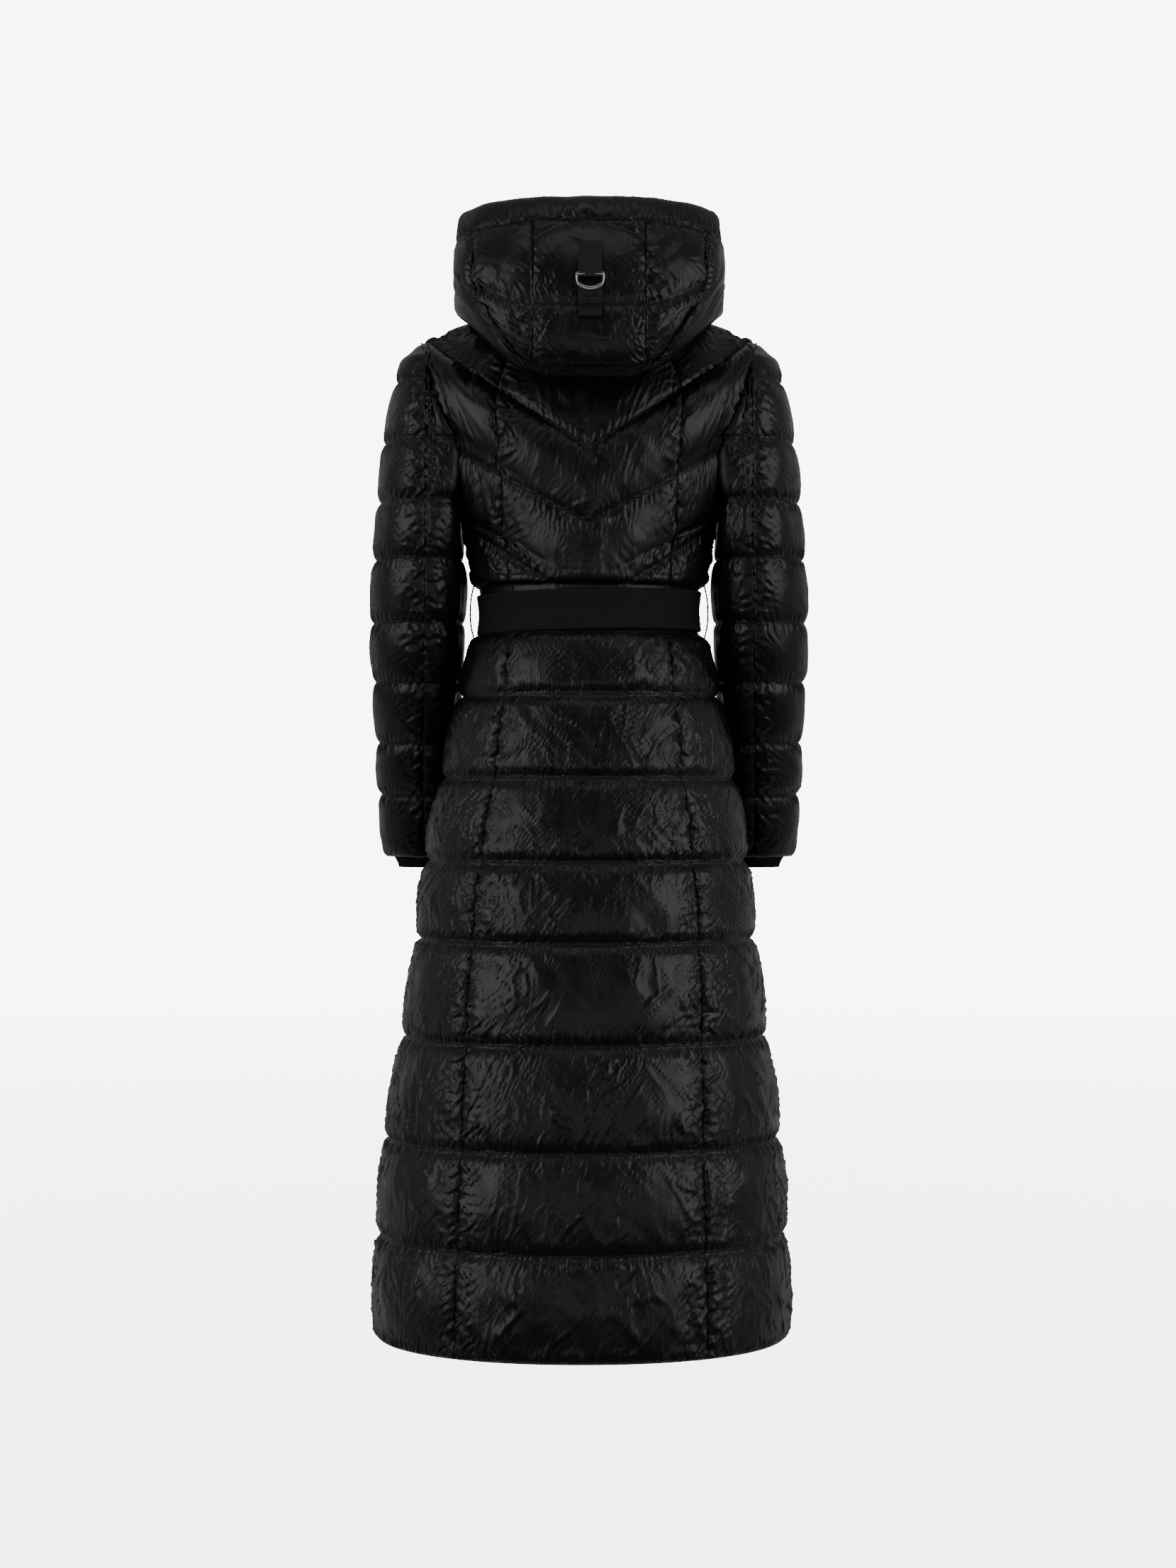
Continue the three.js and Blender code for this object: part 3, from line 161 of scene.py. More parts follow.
# The armhole's angle at a bodice row: the armpit just above the side seam, the middle chevron at
# row 2 and the shoulder point at row 3.
def armholeAngle(row):
    upper = mix(chevronAngle, 0, clamp(row - 2, 0, 1))
    lower = mix(np.pi, chevronAngle, clamp((row - 1 - sideShare) / (1 - sideShare), 0, 1))
    return np.where(row > 2, upper, lower)


# The outer end of a bodice row: up the side seam, round the armhole, in along the shoulder.
def bodiceEdge(row):
    share = clamp(row, 0, 1)
    outward = share + 0.35 * share * (share - 1)
    side = vector(mix(coat["waistX"], coat["pitX"], outward), 0, mix(coat["waistZ"], coat["pitZ"], share))
    corners = ("pit", "shoulder", "neck")
    pit, shoulder, neck = (vector(coat[f"{name}X"], 0, coat[f"{name}Z"]) for name in corners)
    toPit = lerp(pit, armholeAt(np.pi), clamp((row - 1) / sideShare, 0, 1))
    toNeck = lerp(shoulder, neck, clamp(row - 3, 0, 1))
    point = np.where((row <= 1)[..., None], side, toPit)
    point = np.where((row > 1 + sideShare)[..., None], armholeAt(armholeAngle(row)), point)
    return np.where((row > 3)[..., None], toNeck, point)


# The bodice: each row is one cubic from the middle of the back or front out to its edge.
# across is 0 at the back, 1 at the side and 2 at the front, and minus on the wearer's right.
def bodiceAt(across, row):
    across, row = np.broadcast_arrays(np.asarray(across, float), np.asarray(row, float))
    front = np.abs(across) > 1
    t = np.where(front, 2 - np.abs(across), np.abs(across))
    turn = np.where(front, -1.0, 1.0)
    y = np.where(front, column(bodiceRows, "frontY", row), column(bodiceRows, "backY", row))
    z = np.where(front, column(bodiceRows, "frontZ", row), column(bodiceRows, "backZ", row))
    edge = bodiceEdge(row) * vector(1, turn, 1)
    first = vector(column(bodiceRows, "handle", row), y, mix(z, edge[..., 2], 0.36))
    outX, outY, outZ = (column(bodiceRows, name, row) for name in ("outX", "outY", "outZ"))
    out = vector(outX, turn * outY, outZ)
    s, t = (1 - t)[..., None], t[..., None]
    point = vector(0, y, z) * s**3 + 3 * first * s**2 * t + 3 * (edge + out) * s * t**2 + edge * t**3
    return point * vector(np.where(across < 0, -1.0, 1.0), 1, 1)


# The skirt: each row is a slightly squared ellipse with the table's half width and half depth.
def skirtAt(across, row):
    across, row = np.broadcast_arrays(np.asarray(across, float), np.asarray(row, float))
    angle, square = np.abs(across) * np.pi / 2, mix(1, 0.93, smooth(row, 0, 2))
    cosine = np.cos(angle)
    x = column(skirtRows, "halfWidth", row) * np.abs(np.sin(angle)) ** square
    y = column(skirtRows, "halfDepth", row) * np.sign(cosine) * np.abs(cosine) ** square
    x = np.where(across < 0, -x, x) + column(skirtRows, "lean", row)
    return vector(x, y, column(skirtRows, "z", row))


# The hood: each row is a rounded line from the middle of the back round the side to the front,
# drawn towards the bodice's neck line over the first row.
def hoodAt(across, row):
    across, row = np.broadcast_arrays(np.asarray(across, float), np.asarray(row, float))
    angle, front = np.abs(across) * np.pi / 2, np.abs(across) > 1
    sine, cosine = np.abs(np.sin(angle)), np.abs(np.cos(angle))
    square = np.where(front, 1.0, mix(1, 0.72, smooth(row, 0, 3)))
    sideX, sideY, sideZ = (column(hoodRows, name, row) for name in ("sideX", "sideY", "sideZ"))
    x = sideX * sine ** np.where(front, 0.95, square)
    endY = np.where(front, column(hoodRows, "frontY", row), column(hoodRows, "backY", row))
    y = sideY + (endY - sideY) * cosine ** np.where(front, 1.15, square)
    level = column(hoodRows, "level", row)
    reach = clamp((x - level) / (sideX - level), 0, 1)
    z = np.where(
        front,
        mix(column(hoodRows, "frontZ", row), sideZ, sine**1.4),
        mix(column(hoodRows, "backZ", row), sideZ, reach**1.7),
    )
    point = vector(np.where(across < 0, -x, x), y, z)
    neck = bodiceAt(across, np.full_like(row, 4.0)) + np.array([0, 0, 1.6])
    return lerp(point, neck, np.where(row < 1, (1 - row) ** 2, 0))


# How far out the body of the coat reaches beside the sleeves: at each level, an ellipse cut at y.
def bodyReach(y, z):
    below = z < coat["waistZ"]
    levels = skirtRows["z"]
    row = np.interp(-z, -levels, np.arange(len(levels)))
    torso = clamp((z - coat["waistZ"]) / (coat["pitZ"] - coat["waistZ"]), 0, 1.2)
    torsoWidth, torsoDepth = mix(coat["waistX"], coat["pitX"], torso**1.3), mix(104, 118, torso)
    width = np.where(below, column(skirtRows, "halfWidth", row), torsoWidth)
    depth = np.where(below, column(skirtRows, "halfDepth", row), torsoDepth)
    lift = np.where(below, 13.7, 6.5)
    return (width + lift) * np.sqrt(np.maximum(1 - (y / (depth + lift)) ** 2, 0))


# Lower down the sleeve, a point that would lie inside the body's reach moves out to it.
def settled(point, extra):
    reach = bodyReach(point[..., 1], point[..., 2]) + extra
    share = smooth(-point[..., 2], 240, 300)
    x = np.where(point[..., 0] < reach, mix(point[..., 0], reach, share), point[..., 0])
    return vector(x, point[..., 1], point[..., 2])


# The sleeve's edge at the armhole: the same loop, its lower part a little further out, and
# minus angles at the front.
def armholeEdge(angle):
    point = armholeAt(np.abs(angle))
    out = mix(-0.2, 2.6, smooth(np.abs(angle), 1.7, 2.7))
    return point * vector(1, np.where(angle < 0, -1.0, 1.0), 1) + vector(out, 0, 0)


startZ = float(armholeEdge(np.array(topAngle))[2])     # level at which the sleeve's seams begin


# The loop's angle at a level: the arc cosine of the height over half its size.
def loopAngleAt(z):
    middle, half = (armhole["topZ"] + armhole["lowZ"]) / 2, (armhole["topZ"] - armhole["lowZ"]) / 2
    return np.arccos(clamp((z - middle) / half, -1, 1))


# A level section of the sleeve: one half ellipse outside its seam line and one inside it.
def sectionAt(angle, z):
    seam = atLevel(sleeveRows, "seamX", z)
    cosine = np.cos(angle)
    out, inward = atLevel(sleeveRows, "outX", z) - seam, seam - atLevel(sleeveRows, "inX", z)
    y = atLevel(sleeveRows, "midY", z) + atLevel(sleeveRows, "halfDepth", z) * np.sin(angle)
    return vector(seam + np.where(cosine > 0, out, inward) * cosine, y, z)


# The outer panel: the level section, drawn to the armhole's loop from the shoulder down to
# 22 mm below the start of its seams.
def sleeveOuterAt(angle, z):
    angle, z = np.broadcast_arrays(np.asarray(angle, float), np.asarray(z, float))
    point, side = sectionAt(angle, z), np.where(angle < 0, -1.0, 1.0)
    held = 1 - smooth(-z, -startZ, -startZ + 22)
    loop = armholeEdge(side * np.minimum(loopAngleAt(z), topAngle))
    low = armholeEdge(side * topAngle)
    loop = np.where((z < startZ)[..., None], vector(low[..., 0], low[..., 1], z), loop)
    return lerp(point, loop, held * smooth(np.abs(angle), 0.5, seamAngle))


# The armhole's angle at a share of the way across the under panel, round by the armpit.
def underAngle(turn):
    angle = mix(topAngle, 2 * np.pi - topAngle, turn)
    return np.where(angle > np.pi, angle - 2 * np.pi, angle)


# The under panel: the level section, blended from the armhole's lower loop at its top and held
# to the outer panel's edges at its sides.
def sleeveUnderAt(turn, z):
    turn, z = np.broadcast_arrays(np.asarray(turn, float), np.asarray(z, float))
    angle, top = mix(seamAngle, 2 * np.pi - seamAngle, turn), armholeEdge(underAngle(turn))
    level = np.minimum(z, top[..., 2])
    share = smooth(top[..., 2] - level, 0, top[..., 2] + 330) ** 0.8
    edgeTurn = np.minimum(turn, 1 - turn)
    seamPoint = sleeveOuterAt(np.where(angle > np.pi, -seamAngle, seamAngle), level)
    free = lerp(sectionAt(angle, level), seamPoint, 1 - smooth(edgeTurn, 0, 0.06))
    point = vector(mix(top[..., 0], free[..., 0], share), mix(top[..., 1], free[..., 1], share), level)
    below = smooth(top[..., 2] - level, -1e-6, 900 * edgeTurn)
    return lerp(point, seamPoint, (1 - smooth(edgeTurn, 0, 0.1)) * below)


# The place across, on the back or on the front, where a surface is a distance from its middle,
# found by halving.
def acrossAt(surface, row, x, front=False):
    row = np.asarray(row, dtype=float)
    low, high = np.zeros_like(row + x), np.ones_like(row + x)
    middle = surface(np.where(front, 2.0, 0.0) + 0 * row, row)[..., 0]
    for _ in range(26):
        half = (low + high) / 2
        short = surface(2 - half if front else half, row)[..., 0] - middle < x
        low, high = np.where(short, half, low), np.where(short, high, half)
    return 2 - low if front else low


# The normal of a surface: the cross product of small steps along its two parameters.
def normalOf(surface, a, b, inside, stepB=1e-3):
    alongA = surface(a + 1e-3, b) - surface(a - 1e-3, b)
    alongB = surface(a, b + stepB) - surface(a, b - stepB)
    normal = unit(np.cross(alongA, alongB))
    away = np.sum(normal * (surface(a, b) - inside), axis=-1, keepdims=True)
    return np.where(away < 0, -normal, normal)


# Bodice and sleeve share one normal round the armhole, which leans outwards, down to the armpit.
def armholeNormal(angle, own, side):
    lean = 0.35 - 0.2 * smooth(np.abs(angle), 0.5, 1.6)
    shared = unit(vector(side * lean, np.sin(angle), np.cos(angle)))
    return unit(lerp(own, shared, 1 - smooth(np.abs(angle), 1.9, 2.6)))


# How far the armhole seam stands out: none at the armpit.
def holeLift(angle):
    return 2.4 * (1 - smooth(np.abs(angle), 1.2, 2.2))


def signOf(across):
    return np.where(across < 0, -1.0, 1.0)


# Normals of the coat's surfaces, worked out a little inside their edges and then made level or
# square to the middle there, so that two panels that meet stand out the same way.
def bodiceNormal(across, row):
    size, side = np.abs(across), signOf(across)
    atSide = np.abs(size - 1) < 1e-6
    place = np.where(atSide, np.where(size > 1, 1.004, 0.996), clamp(size, 0.004, 1.996))
    inside = vector(0, 0, column(bodiceRows, "backZ", row) - 60)
    normal = normalOf(bodiceAt, side * place, clamp(row, 0.01, 3.99), inside)
    normal[..., 2] *= smooth(row, 0, 1.2) * (1 - smooth(row, 3.9, 4))
    normal[..., 0] = np.where((size < 1e-6) | (size > 2 - 1e-6), 0, normal[..., 0])
    onSeam = atSide & ((row < 1 + sideShare + 1e-6) | (row > 3 + 1e-6))
    normal[..., 1] = np.where(onSeam, 0, normal[..., 1])
    normal = unit(normal)
    shared = armholeNormal(armholeAngle(row) * np.where(size > 1, -1, 1), normal, side)
    onHole = atSide & (row > 1 + sideShare) & (row < 3 + 1e-6)
    return np.where(onHole[..., None], shared, normal)


def skirtNormal(across, row):
    size = np.abs(across)
    place = clamp(size, 0.004, 1.996) * signOf(across)
    normal = normalOf(skirtAt, place, clamp(row, 0.01, 8.99), np.array([0.0, 0, -700]))
    normal[..., 2] = 0
    normal[..., 1] = np.where(np.abs(size - 1) < 1e-6, 0, normal[..., 1])
    normal[..., 0] = np.where((size < 1e-6) | (size > 2 - 1e-6), 0, normal[..., 0])
    return unit(normal)


def hoodNormal(across, row):
    size = np.abs(across)
    place, at = clamp(size, 0.004, 1.996) * signOf(across), clamp(row, 0.02, 8.98)
    along = hoodAt(place + 1e-3, at) - hoodAt(place - 1e-3, at)
    up = hoodAt(place, at + 1e-3) - hoodAt(place, at - 1e-3)
    normal = unit(np.cross(up, along))
    normal[..., 0] = np.where((size < 1e-6) | (size > 2 - 1e-6), 0, normal[..., 0])
    level = unit(hoodAt(across, row) * np.array([1.0, 1, 0]))
    return unit(lerp(normal, level, np.where(row < 0.5, 1 - smooth(row, 0, 0.5), 0)))


# Pillow between two seams: 0 on a seam and 1 half way, with steep flanks.
def pillow(share, power=0.6):
    share = clamp(share, 0, 1)
    return (4 * share * (1 - share)) ** power


# Soft random patches: a coarse grid of random numbers, blended smoothly to the size asked for.
def patches(rng, shape, stepV, stepU):
    rows, columns = int(shape[0] / stepV) + 3, int(shape[1] / stepU) + 3
    coarse = rng.normal(size=(rows, columns))
    v, u = np.arange(shape[0]) / stepV, np.arange(shape[1]) / stepU
    i, j = np.floor(v).astype(int), np.floor(u).astype(int)
    a, b = smooth(v - i, 0, 1)[:, None], smooth(u - j, 0, 1)[None, :]
    top = coarse[i][:, j] * (1 - b) + coarse[i][:, j + 1] * b
    low = coarse[i + 1][:, j] * (1 - b) + coarse[i + 1][:, j + 1] * b
    return top * (1 - a) + low * a


# The same at any places: a table of random numbers, blended smoothly and repeated every 128.
def grain(seed, u, v):
    numbers = np.random.default_rng(seed).normal(size=(128, 128))
    i, j = np.floor(v).astype(int), np.floor(u).astype(int)
    a, b = smooth(v - i, 0, 1), smooth(u - j, 0, 1)
    i, j = i % 128, j % 128
    nextI, nextJ = (i + 1) % 128, (j + 1) % 128
    top = numbers[i, j] * (1 - b) + numbers[i, nextJ] * b
    low = numbers[nextI, j] * (1 - b) + numbers[nextI, nextJ] * b
    return top * (1 - a) + low * a


# Distances in millimetres over a grid of points, along its rows and down its columns.
def distances(points):
    u = np.cumsum(np.pad(np.linalg.norm(np.diff(points, axis=1), axis=-1), ((0, 0), (1, 0))), axis=1)
    v = np.cumsum(np.pad(np.linalg.norm(np.diff(points, axis=0), axis=-1), ((1, 0), (0, 0))), axis=0)
    return u - u[:, points.shape[1] // 2][:, None], v - v[0].mean()


# 1 where a value crosses zero, and falling straight to 0 at a width from it.
def ridge(value, width):
    return clamp(1 - np.abs(value) / width, 0, 1)


# Small creases that run from seam to seam: ridges where a long thin noise crosses zero, led
# aside by a wider one, and thinned out in patches. Short ones gather beside the quilting lines,
# and a few longer ones cross the channel both ways, at the slope slant. scale widens them all.
def creases(seed, u, v, fromSeam, scale, crossing, slant):
    lean = 12 * grain(seed, u / 80, v / 75) + 1.2 * grain(seed + 1, u / 20, v / 22)
    long = ridge(grain(seed + 2, (u + lean) / (5.6 * scale), v / 34), 0.42)
    short = ridge(grain(seed + 3, (u + 0.7 * lean) / (4.2 * scale), v / 15), 0.5)
    where = smooth(grain(seed + 4, u / 34, v / 44), -0.7 + 0.5 * (scale - 1), 1)
    beside = np.exp(-((fromSeam / 16) ** 2))
    height = long**1.3 * (0.1 + 0.9 * where) + 0.9 * short * (0.05 + 0.95 * beside)
    size = np.hypot(1, slant) / 1.25
    for turn, extra in ((slant, 5), (-slant, 9)):
        fold = grain(seed + extra, (u + turn * v + lean) / (13 * size), (v - turn * u) / (80 * size))
        some = smooth(grain(seed + extra + 1, u / 42, v / 42), -0.1, 0.7)
        height = height + crossing * ridge(fold, 0.22) * some
    return height


# Draws the points of two equal slices of a sheet towards their rest length. freedom is 0 for a
# point that is sewn down, and pushOnly moves pairs apart but never together.
def pull(points, freedom, rest, first, second, strength=1.0, pushOnly=False):
    a, b = points[first], points[second]
    gap = b - a
    length = np.sqrt(np.einsum("...i,...i->...", gap, gap))[..., None]
    stretch = 1 - rest[..., None] / np.maximum(length, 1e-4)
    if pushOnly:
        stretch = np.minimum(stretch, 0)
    wa, wb = freedom[first], freedom[second]
    move = gap * (strength * stretch / np.maximum(wa + wb, 1))
    points[first] += wa * move
    points[second] -= wb * move


everyStep = slice(None)


# The first and the second points of each separate pair of neighbours, from a start on.
def everyOther(start, size):
    count = (size - start) // 2
    return slice(start, start + 2 * count - 1, 2), slice(start + 1, start + 2 * count, 2)


# All points and those some steps on.
def stepsApart(steps):
    if steps == 0:
        return everyStep, everyStep
    near, far = slice(0, -abs(steps)), slice(abs(steps), None)
    return (near, far) if steps > 0 else (far, near)


quilting = {
    "rounds": 90,
    "hold": 0.03,          # how firmly the fill holds the cloth at its height, each round
    "bendAcross": 0.07,
    "bendAlong": 0.09,
    "shear": 0.1,
    "seedHeight": 1.3,
    "inward": 2.0,         # how far a fold may sink and rise
    "outward": 2.2,
    "seamGather": 0.17,    # spare cloth beside a quilting line
    "edgeGather": 0.13,    # spare cloth beside a long seam
    "spare": 0.006,        # and elsewhere, along it
    "streak": 0.7,         # height of the small creases
    "lumps": 0.7,          # unevenness of the fill
    "seamLift": 2.6,       # height of a quilting line over the wall
    "edgeLift": 0.6,       # height of a long seam, as a share of the padding beside it
}


# The upright direction of a grid of points, on the side that normal shows.
def gridNormal(points, normal):
    found = unit(np.cross(np.gradient(points, axis=1), np.gradient(points, axis=0)))
    return np.where(np.sum(found * normal, axis=-1, keepdims=True) < 0, -found, found)


# Quilted cloth over its fill. The sheet is a grid that is longer than the padding under it,
# sewn down on the pinned points; the fill holds it near its height, and the rounds restore its
# lengths, so that it folds where the seams gather it. sideways says where the folds lie along
# the rows and not across them, and cell is the width of the first ripples in columns. The same
# pulls then act on each pair of points a few steps down and across; the last ones only push.
def settleCloth(target, normal, pinned, excessU, excessV, seed, sideways, slack, cell=2.1):
    rng = np.random.default_rng(seed)
    shape = target.shape[:2]
    target, normal = target.astype(np.float32), normal.astype(np.float32)
    freedom = (~pinned).astype(np.float32)[..., None]
    lengthU = np.linalg.norm(target[:, 1:] - target[:, :-1], axis=-1)
    lengthV = np.linalg.norm(target[1:] - target[:-1], axis=-1)
    restU = (lengthU * (1 + (excessU[:, 1:] + excessU[:, :-1]) / 2)).astype(np.float32)
    restV = (lengthV * (1 + (excessV[1:] + excessV[:-1]) / 2)).astype(np.float32)
    slant = 1 + (excessU + excessV) / 2
    slant = (slant[1:, 1:] + slant[:-1, :-1]) / 2
    restDown = (np.linalg.norm(target[1:, 1:] - target[:-1, :-1], axis=-1) * slant).astype(np.float32)
    restUp = (np.linalg.norm(target[:-1, 1:] - target[1:, :-1], axis=-1) * slant).astype(np.float32)
    spanU, spanV = restU[:, 1:] + restU[:, :-1], restV[1:] + restV[:-1]
    farU, farV = spanU[:, 2:] + spanU[:, :-2], spanV[2:] + spanV[:-2]
    upright = patches(rng, shape, 14, cell) + 0.6 * patches(rng, shape, 20, 2 * cell)
    ridges = mix(upright, patches(rng, shape, 5.4, 9) * 1.6, sideways)
    low = (-quilting["inward"] * slack).astype(np.float32)
    high = (quilting["outward"] * slack).astype(np.float32)
    ripples = clamp(quilting["seedHeight"] * ridges, low, high)
    points = target + normal * ripples[..., None].astype(np.float32) * freedom
    before = points.copy()
    shear, bendAcross, bendAlong = (quilting[key] for key in ("shear", "bendAcross", "bendAlong"))
    ties = (
        (restDown, 1, 1, shear, False), (restUp, 1, -1, shear, False),
        (spanU, 0, 2, bendAcross, True), (farU, 0, 4, bendAcross * 0.4, True),
        (spanV, 2, 0, bendAlong, True), (farV, 4, 0, bendAlong * 0.5, True),
    )
    for _ in range(quilting["rounds"]):
        moved = points + (points - before) * 0.9
        before, points = points, moved
        for start in (0, 1):
            for axis, rest in ((1, restU), (0, restV)):
                near, far = everyOther(start, shape[axis])
                if axis:
                    pull(points, freedom, rest[:, near], (everyStep, near), (everyStep, far))
                else:
                    pull(points, freedom, rest[near], (near, everyStep), (far, everyStep))
        for rest, down, across, strength, pushOnly in ties:
            first, second = zip(stepsApart(down), stepsApart(across))
            pull(points, freedom, rest, first, second, strength, pushOnly)
        height = np.einsum("...i,...i->...", points - target, normal)
        held = clamp(height * (1 - quilting["hold"]), low, high)
        points += normal * (held - height)[..., None] * freedom
    return points.astype(float)


# The strip of faces between a fine chain of points and a coarse one that skips every few.
def sideFaces(fine, coarse, forward):
    step = (len(fine) - 1) // (len(coarse) - 1)
    t = np.arange(len(fine) - 1)
    near = coarse[t // step + ((t % step) >= step / 2)]
    c = np.arange(len(coarse) - 1)
    middle = fine[c * step + step // 2]
    if forward:
        return [np.stack([fine[t], fine[t + 1], near], 1), np.stack([coarse[c + 1], coarse[c], middle], 1)]
    return [np.stack([fine[t + 1], fine[t], near], 1), np.stack([coarse[c], coarse[c + 1], middle], 1)]


# Two triangles for each cell of a grid of point numbers.
def gridFaces(ids, flip=False):
    a, b, c, d = ids[:-1, :-1], ids[:-1, 1:], ids[1:, 1:], ids[1:, :-1]
    faces = np.concatenate([np.stack([a, b, c], -1).reshape(-1, 3), np.stack([a, c, d], -1).reshape(-1, 3)])
    return faces[:, ::-1] if flip else faces


pieces = {}


def clothName(node):
    return f"{node}_made"


# A mesh object from points in millimetres and triangles, turned outwards, with unused points
# and empty faces left out. marks are values of its points, kept as attributes.
def addMesh(node, points, faces, material, uv=None, marks=None):
    name = clothName(node)
    after = np.roll(faces, -1, axis=1)
    faces = faces[(faces != after).all(axis=1)]
    used, faces = np.unique(faces, return_inverse=True)
    faces = faces.reshape(-1, 3)
    points = points.reshape(-1, 3)[used] / 1000
    a, b, c = points[faces[:, 0]], points[faces[:, 1]], points[faces[:, 2]]
    if np.einsum("ij,ij->i", a, np.cross(b, c)).sum() < 0:
        faces = faces[:, ::-1]
    mesh = bpy.data.meshes.new(name)
    mesh.vertices.add(len(points))
    mesh.vertices.foreach_set("co", points.ravel())
    mesh.loops.add(faces.size)
    mesh.loops.foreach_set("vertex_index", np.ascontiguousarray(faces).ravel())
    mesh.polygons.add(len(faces))
    mesh.polygons.foreach_set("loop_start", np.arange(0, faces.size, 3))
    mesh.polygons.foreach_set("use_smooth", np.ones(len(faces), dtype=bool))
    mesh.update(calc_edges=True)
    if uv is not None:
        layer = mesh.uv_layers.new(name="cloth")
        layer.data.foreach_set("uv", uv.reshape(-1, 2)[used][faces.ravel()].ravel())
    for key, values in (marks or {}).items():
        layer = mesh.attributes.new(key, "FLOAT", "POINT")
        layer.data.foreach_set("value", values.ravel()[used].astype(np.float32))
    mesh.validate()
    mesh.materials.append(material)
    piece = bpy.data.objects.new(name, mesh)
    bpy.context.scene.collection.objects.link(piece)
    pieces[name] = piece
    return piece


# A piece rides on the coat's one body and takes the place of its node.
def dress(piece, node):
    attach(piece, "root")
    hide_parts(node)
    return piece


# An outer and a coarser inner face closed into one wall; uv is metres along and across the
# outer grid, and seam the distance from the nearest quilting line. weld gives, for each point,
# the row whose point it shares.
def addWall(name, outer, inner, material, seamRows=(), weld=None):
    rows, columns = outer.shape[:2]
    ids = np.arange(rows * columns).reshape(rows, columns)
    stepV, stepU = (rows - 1) // (inner.shape[0] - 1), (columns - 1) // (inner.shape[1] - 1)
    innerIds = ids.size + np.arange(inner.shape[0] * inner.shape[1]).reshape(inner.shape[:2])
    if weld is not None:
        ids = ids[weld, np.arange(columns)[None, :]]
        low = -(-weld // stepV)[::stepV, ::stepU]
        innerIds = innerIds[np.minimum(low, inner.shape[0] - 1), np.arange(inner.shape[1])[None, :]]
    faces = [gridFaces(ids), gridFaces(innerIds, True)]
    faces += sideFaces(ids[0], innerIds[0], False) + sideFaces(ids[-1], innerIds[-1], True)
    faces += sideFaces(ids[:, 0], innerIds[:, 0], True) + sideFaces(ids[:, -1], innerIds[:, -1], False)
    u, v = distances(outer)
    uv = np.stack([u, v], -1) / 1000
    farFromSeam = 60.0
    seam = np.full(v.shape, farFromSeam)
    for row in seamRows:
        seam = np.minimum(seam, np.abs(v - v[row]))
    innerUv = uv[::stepV, ::stepU]
    innerSeam = np.full(inner.shape[:2], farFromSeam)
    points = np.concatenate([outer.reshape(-1, 3), inner.reshape(-1, 3)])
    uv = np.concatenate([uv.reshape(-1, 2), innerUv.reshape(-1, 2)])
    marks = {"seam": np.concatenate([seam.ravel(), innerSeam.ravel()]) / 1000}
    return addMesh(name, points, np.concatenate(faces), material, uv, marks)


# The fly, and half the flat strip of the front panels that it lies on.
fly = {"halfWidth": 23.0, "strip": 25.5, "wall": 3.0, "columns": 16, "puff": 2.2}


# Rows of a panel: each channel between two seams is cut into a number of cells that 4 divides.
def channelRows(seams, cells):
    rows, share, marks = [], [], [0]
    for low, high, count in zip(seams[:-1], seams[1:], cells):
        part = np.arange(count) / count
        rows.append(mix(low, high, part))
        share.append(part)
        marks.append(marks[-1] + count)
    rows.append([seams[-1]])
    share.append([0.0])
    return np.concatenate(rows), np.concatenate(share), marks


# Shares across a front panel, with only the last eighth of its columns on the flat strip
# beside the closed front edge.
def flatWarp(surface, fromLine, share, row):
    flatShare = 0.88
    flat = (acrossAt(surface, row, fly["strip"], True) - fromLine) / (2 - fromLine)
    onStrip = mix(flat, 1, (share - flatShare) / (1 - flatShare))
    return np.where(share <= flatShare, share / flatShare * flat, onStrip)


# A socket that takes part in sums: each sum adds its Math node to the same material.
class Shade:
    def __init__(self, look, socket):
        self.look, self.socket = look, socket

    def join(self, operation, first, second):
        return self.look.node("ShaderNodeMath", {"operation": operation}, {0: first, 1: second})

    def __add__(self, other):
        return self.join("ADD", self, other)

    def __sub__(self, other):
        return self.join("SUBTRACT", self, other)

    def __rsub__(self, other):
        return self.join("SUBTRACT", other, self)

    def __mul__(self, other):
        return self.join("MULTIPLY", self, other)

    __radd__, __rmul__ = __add__, __mul__


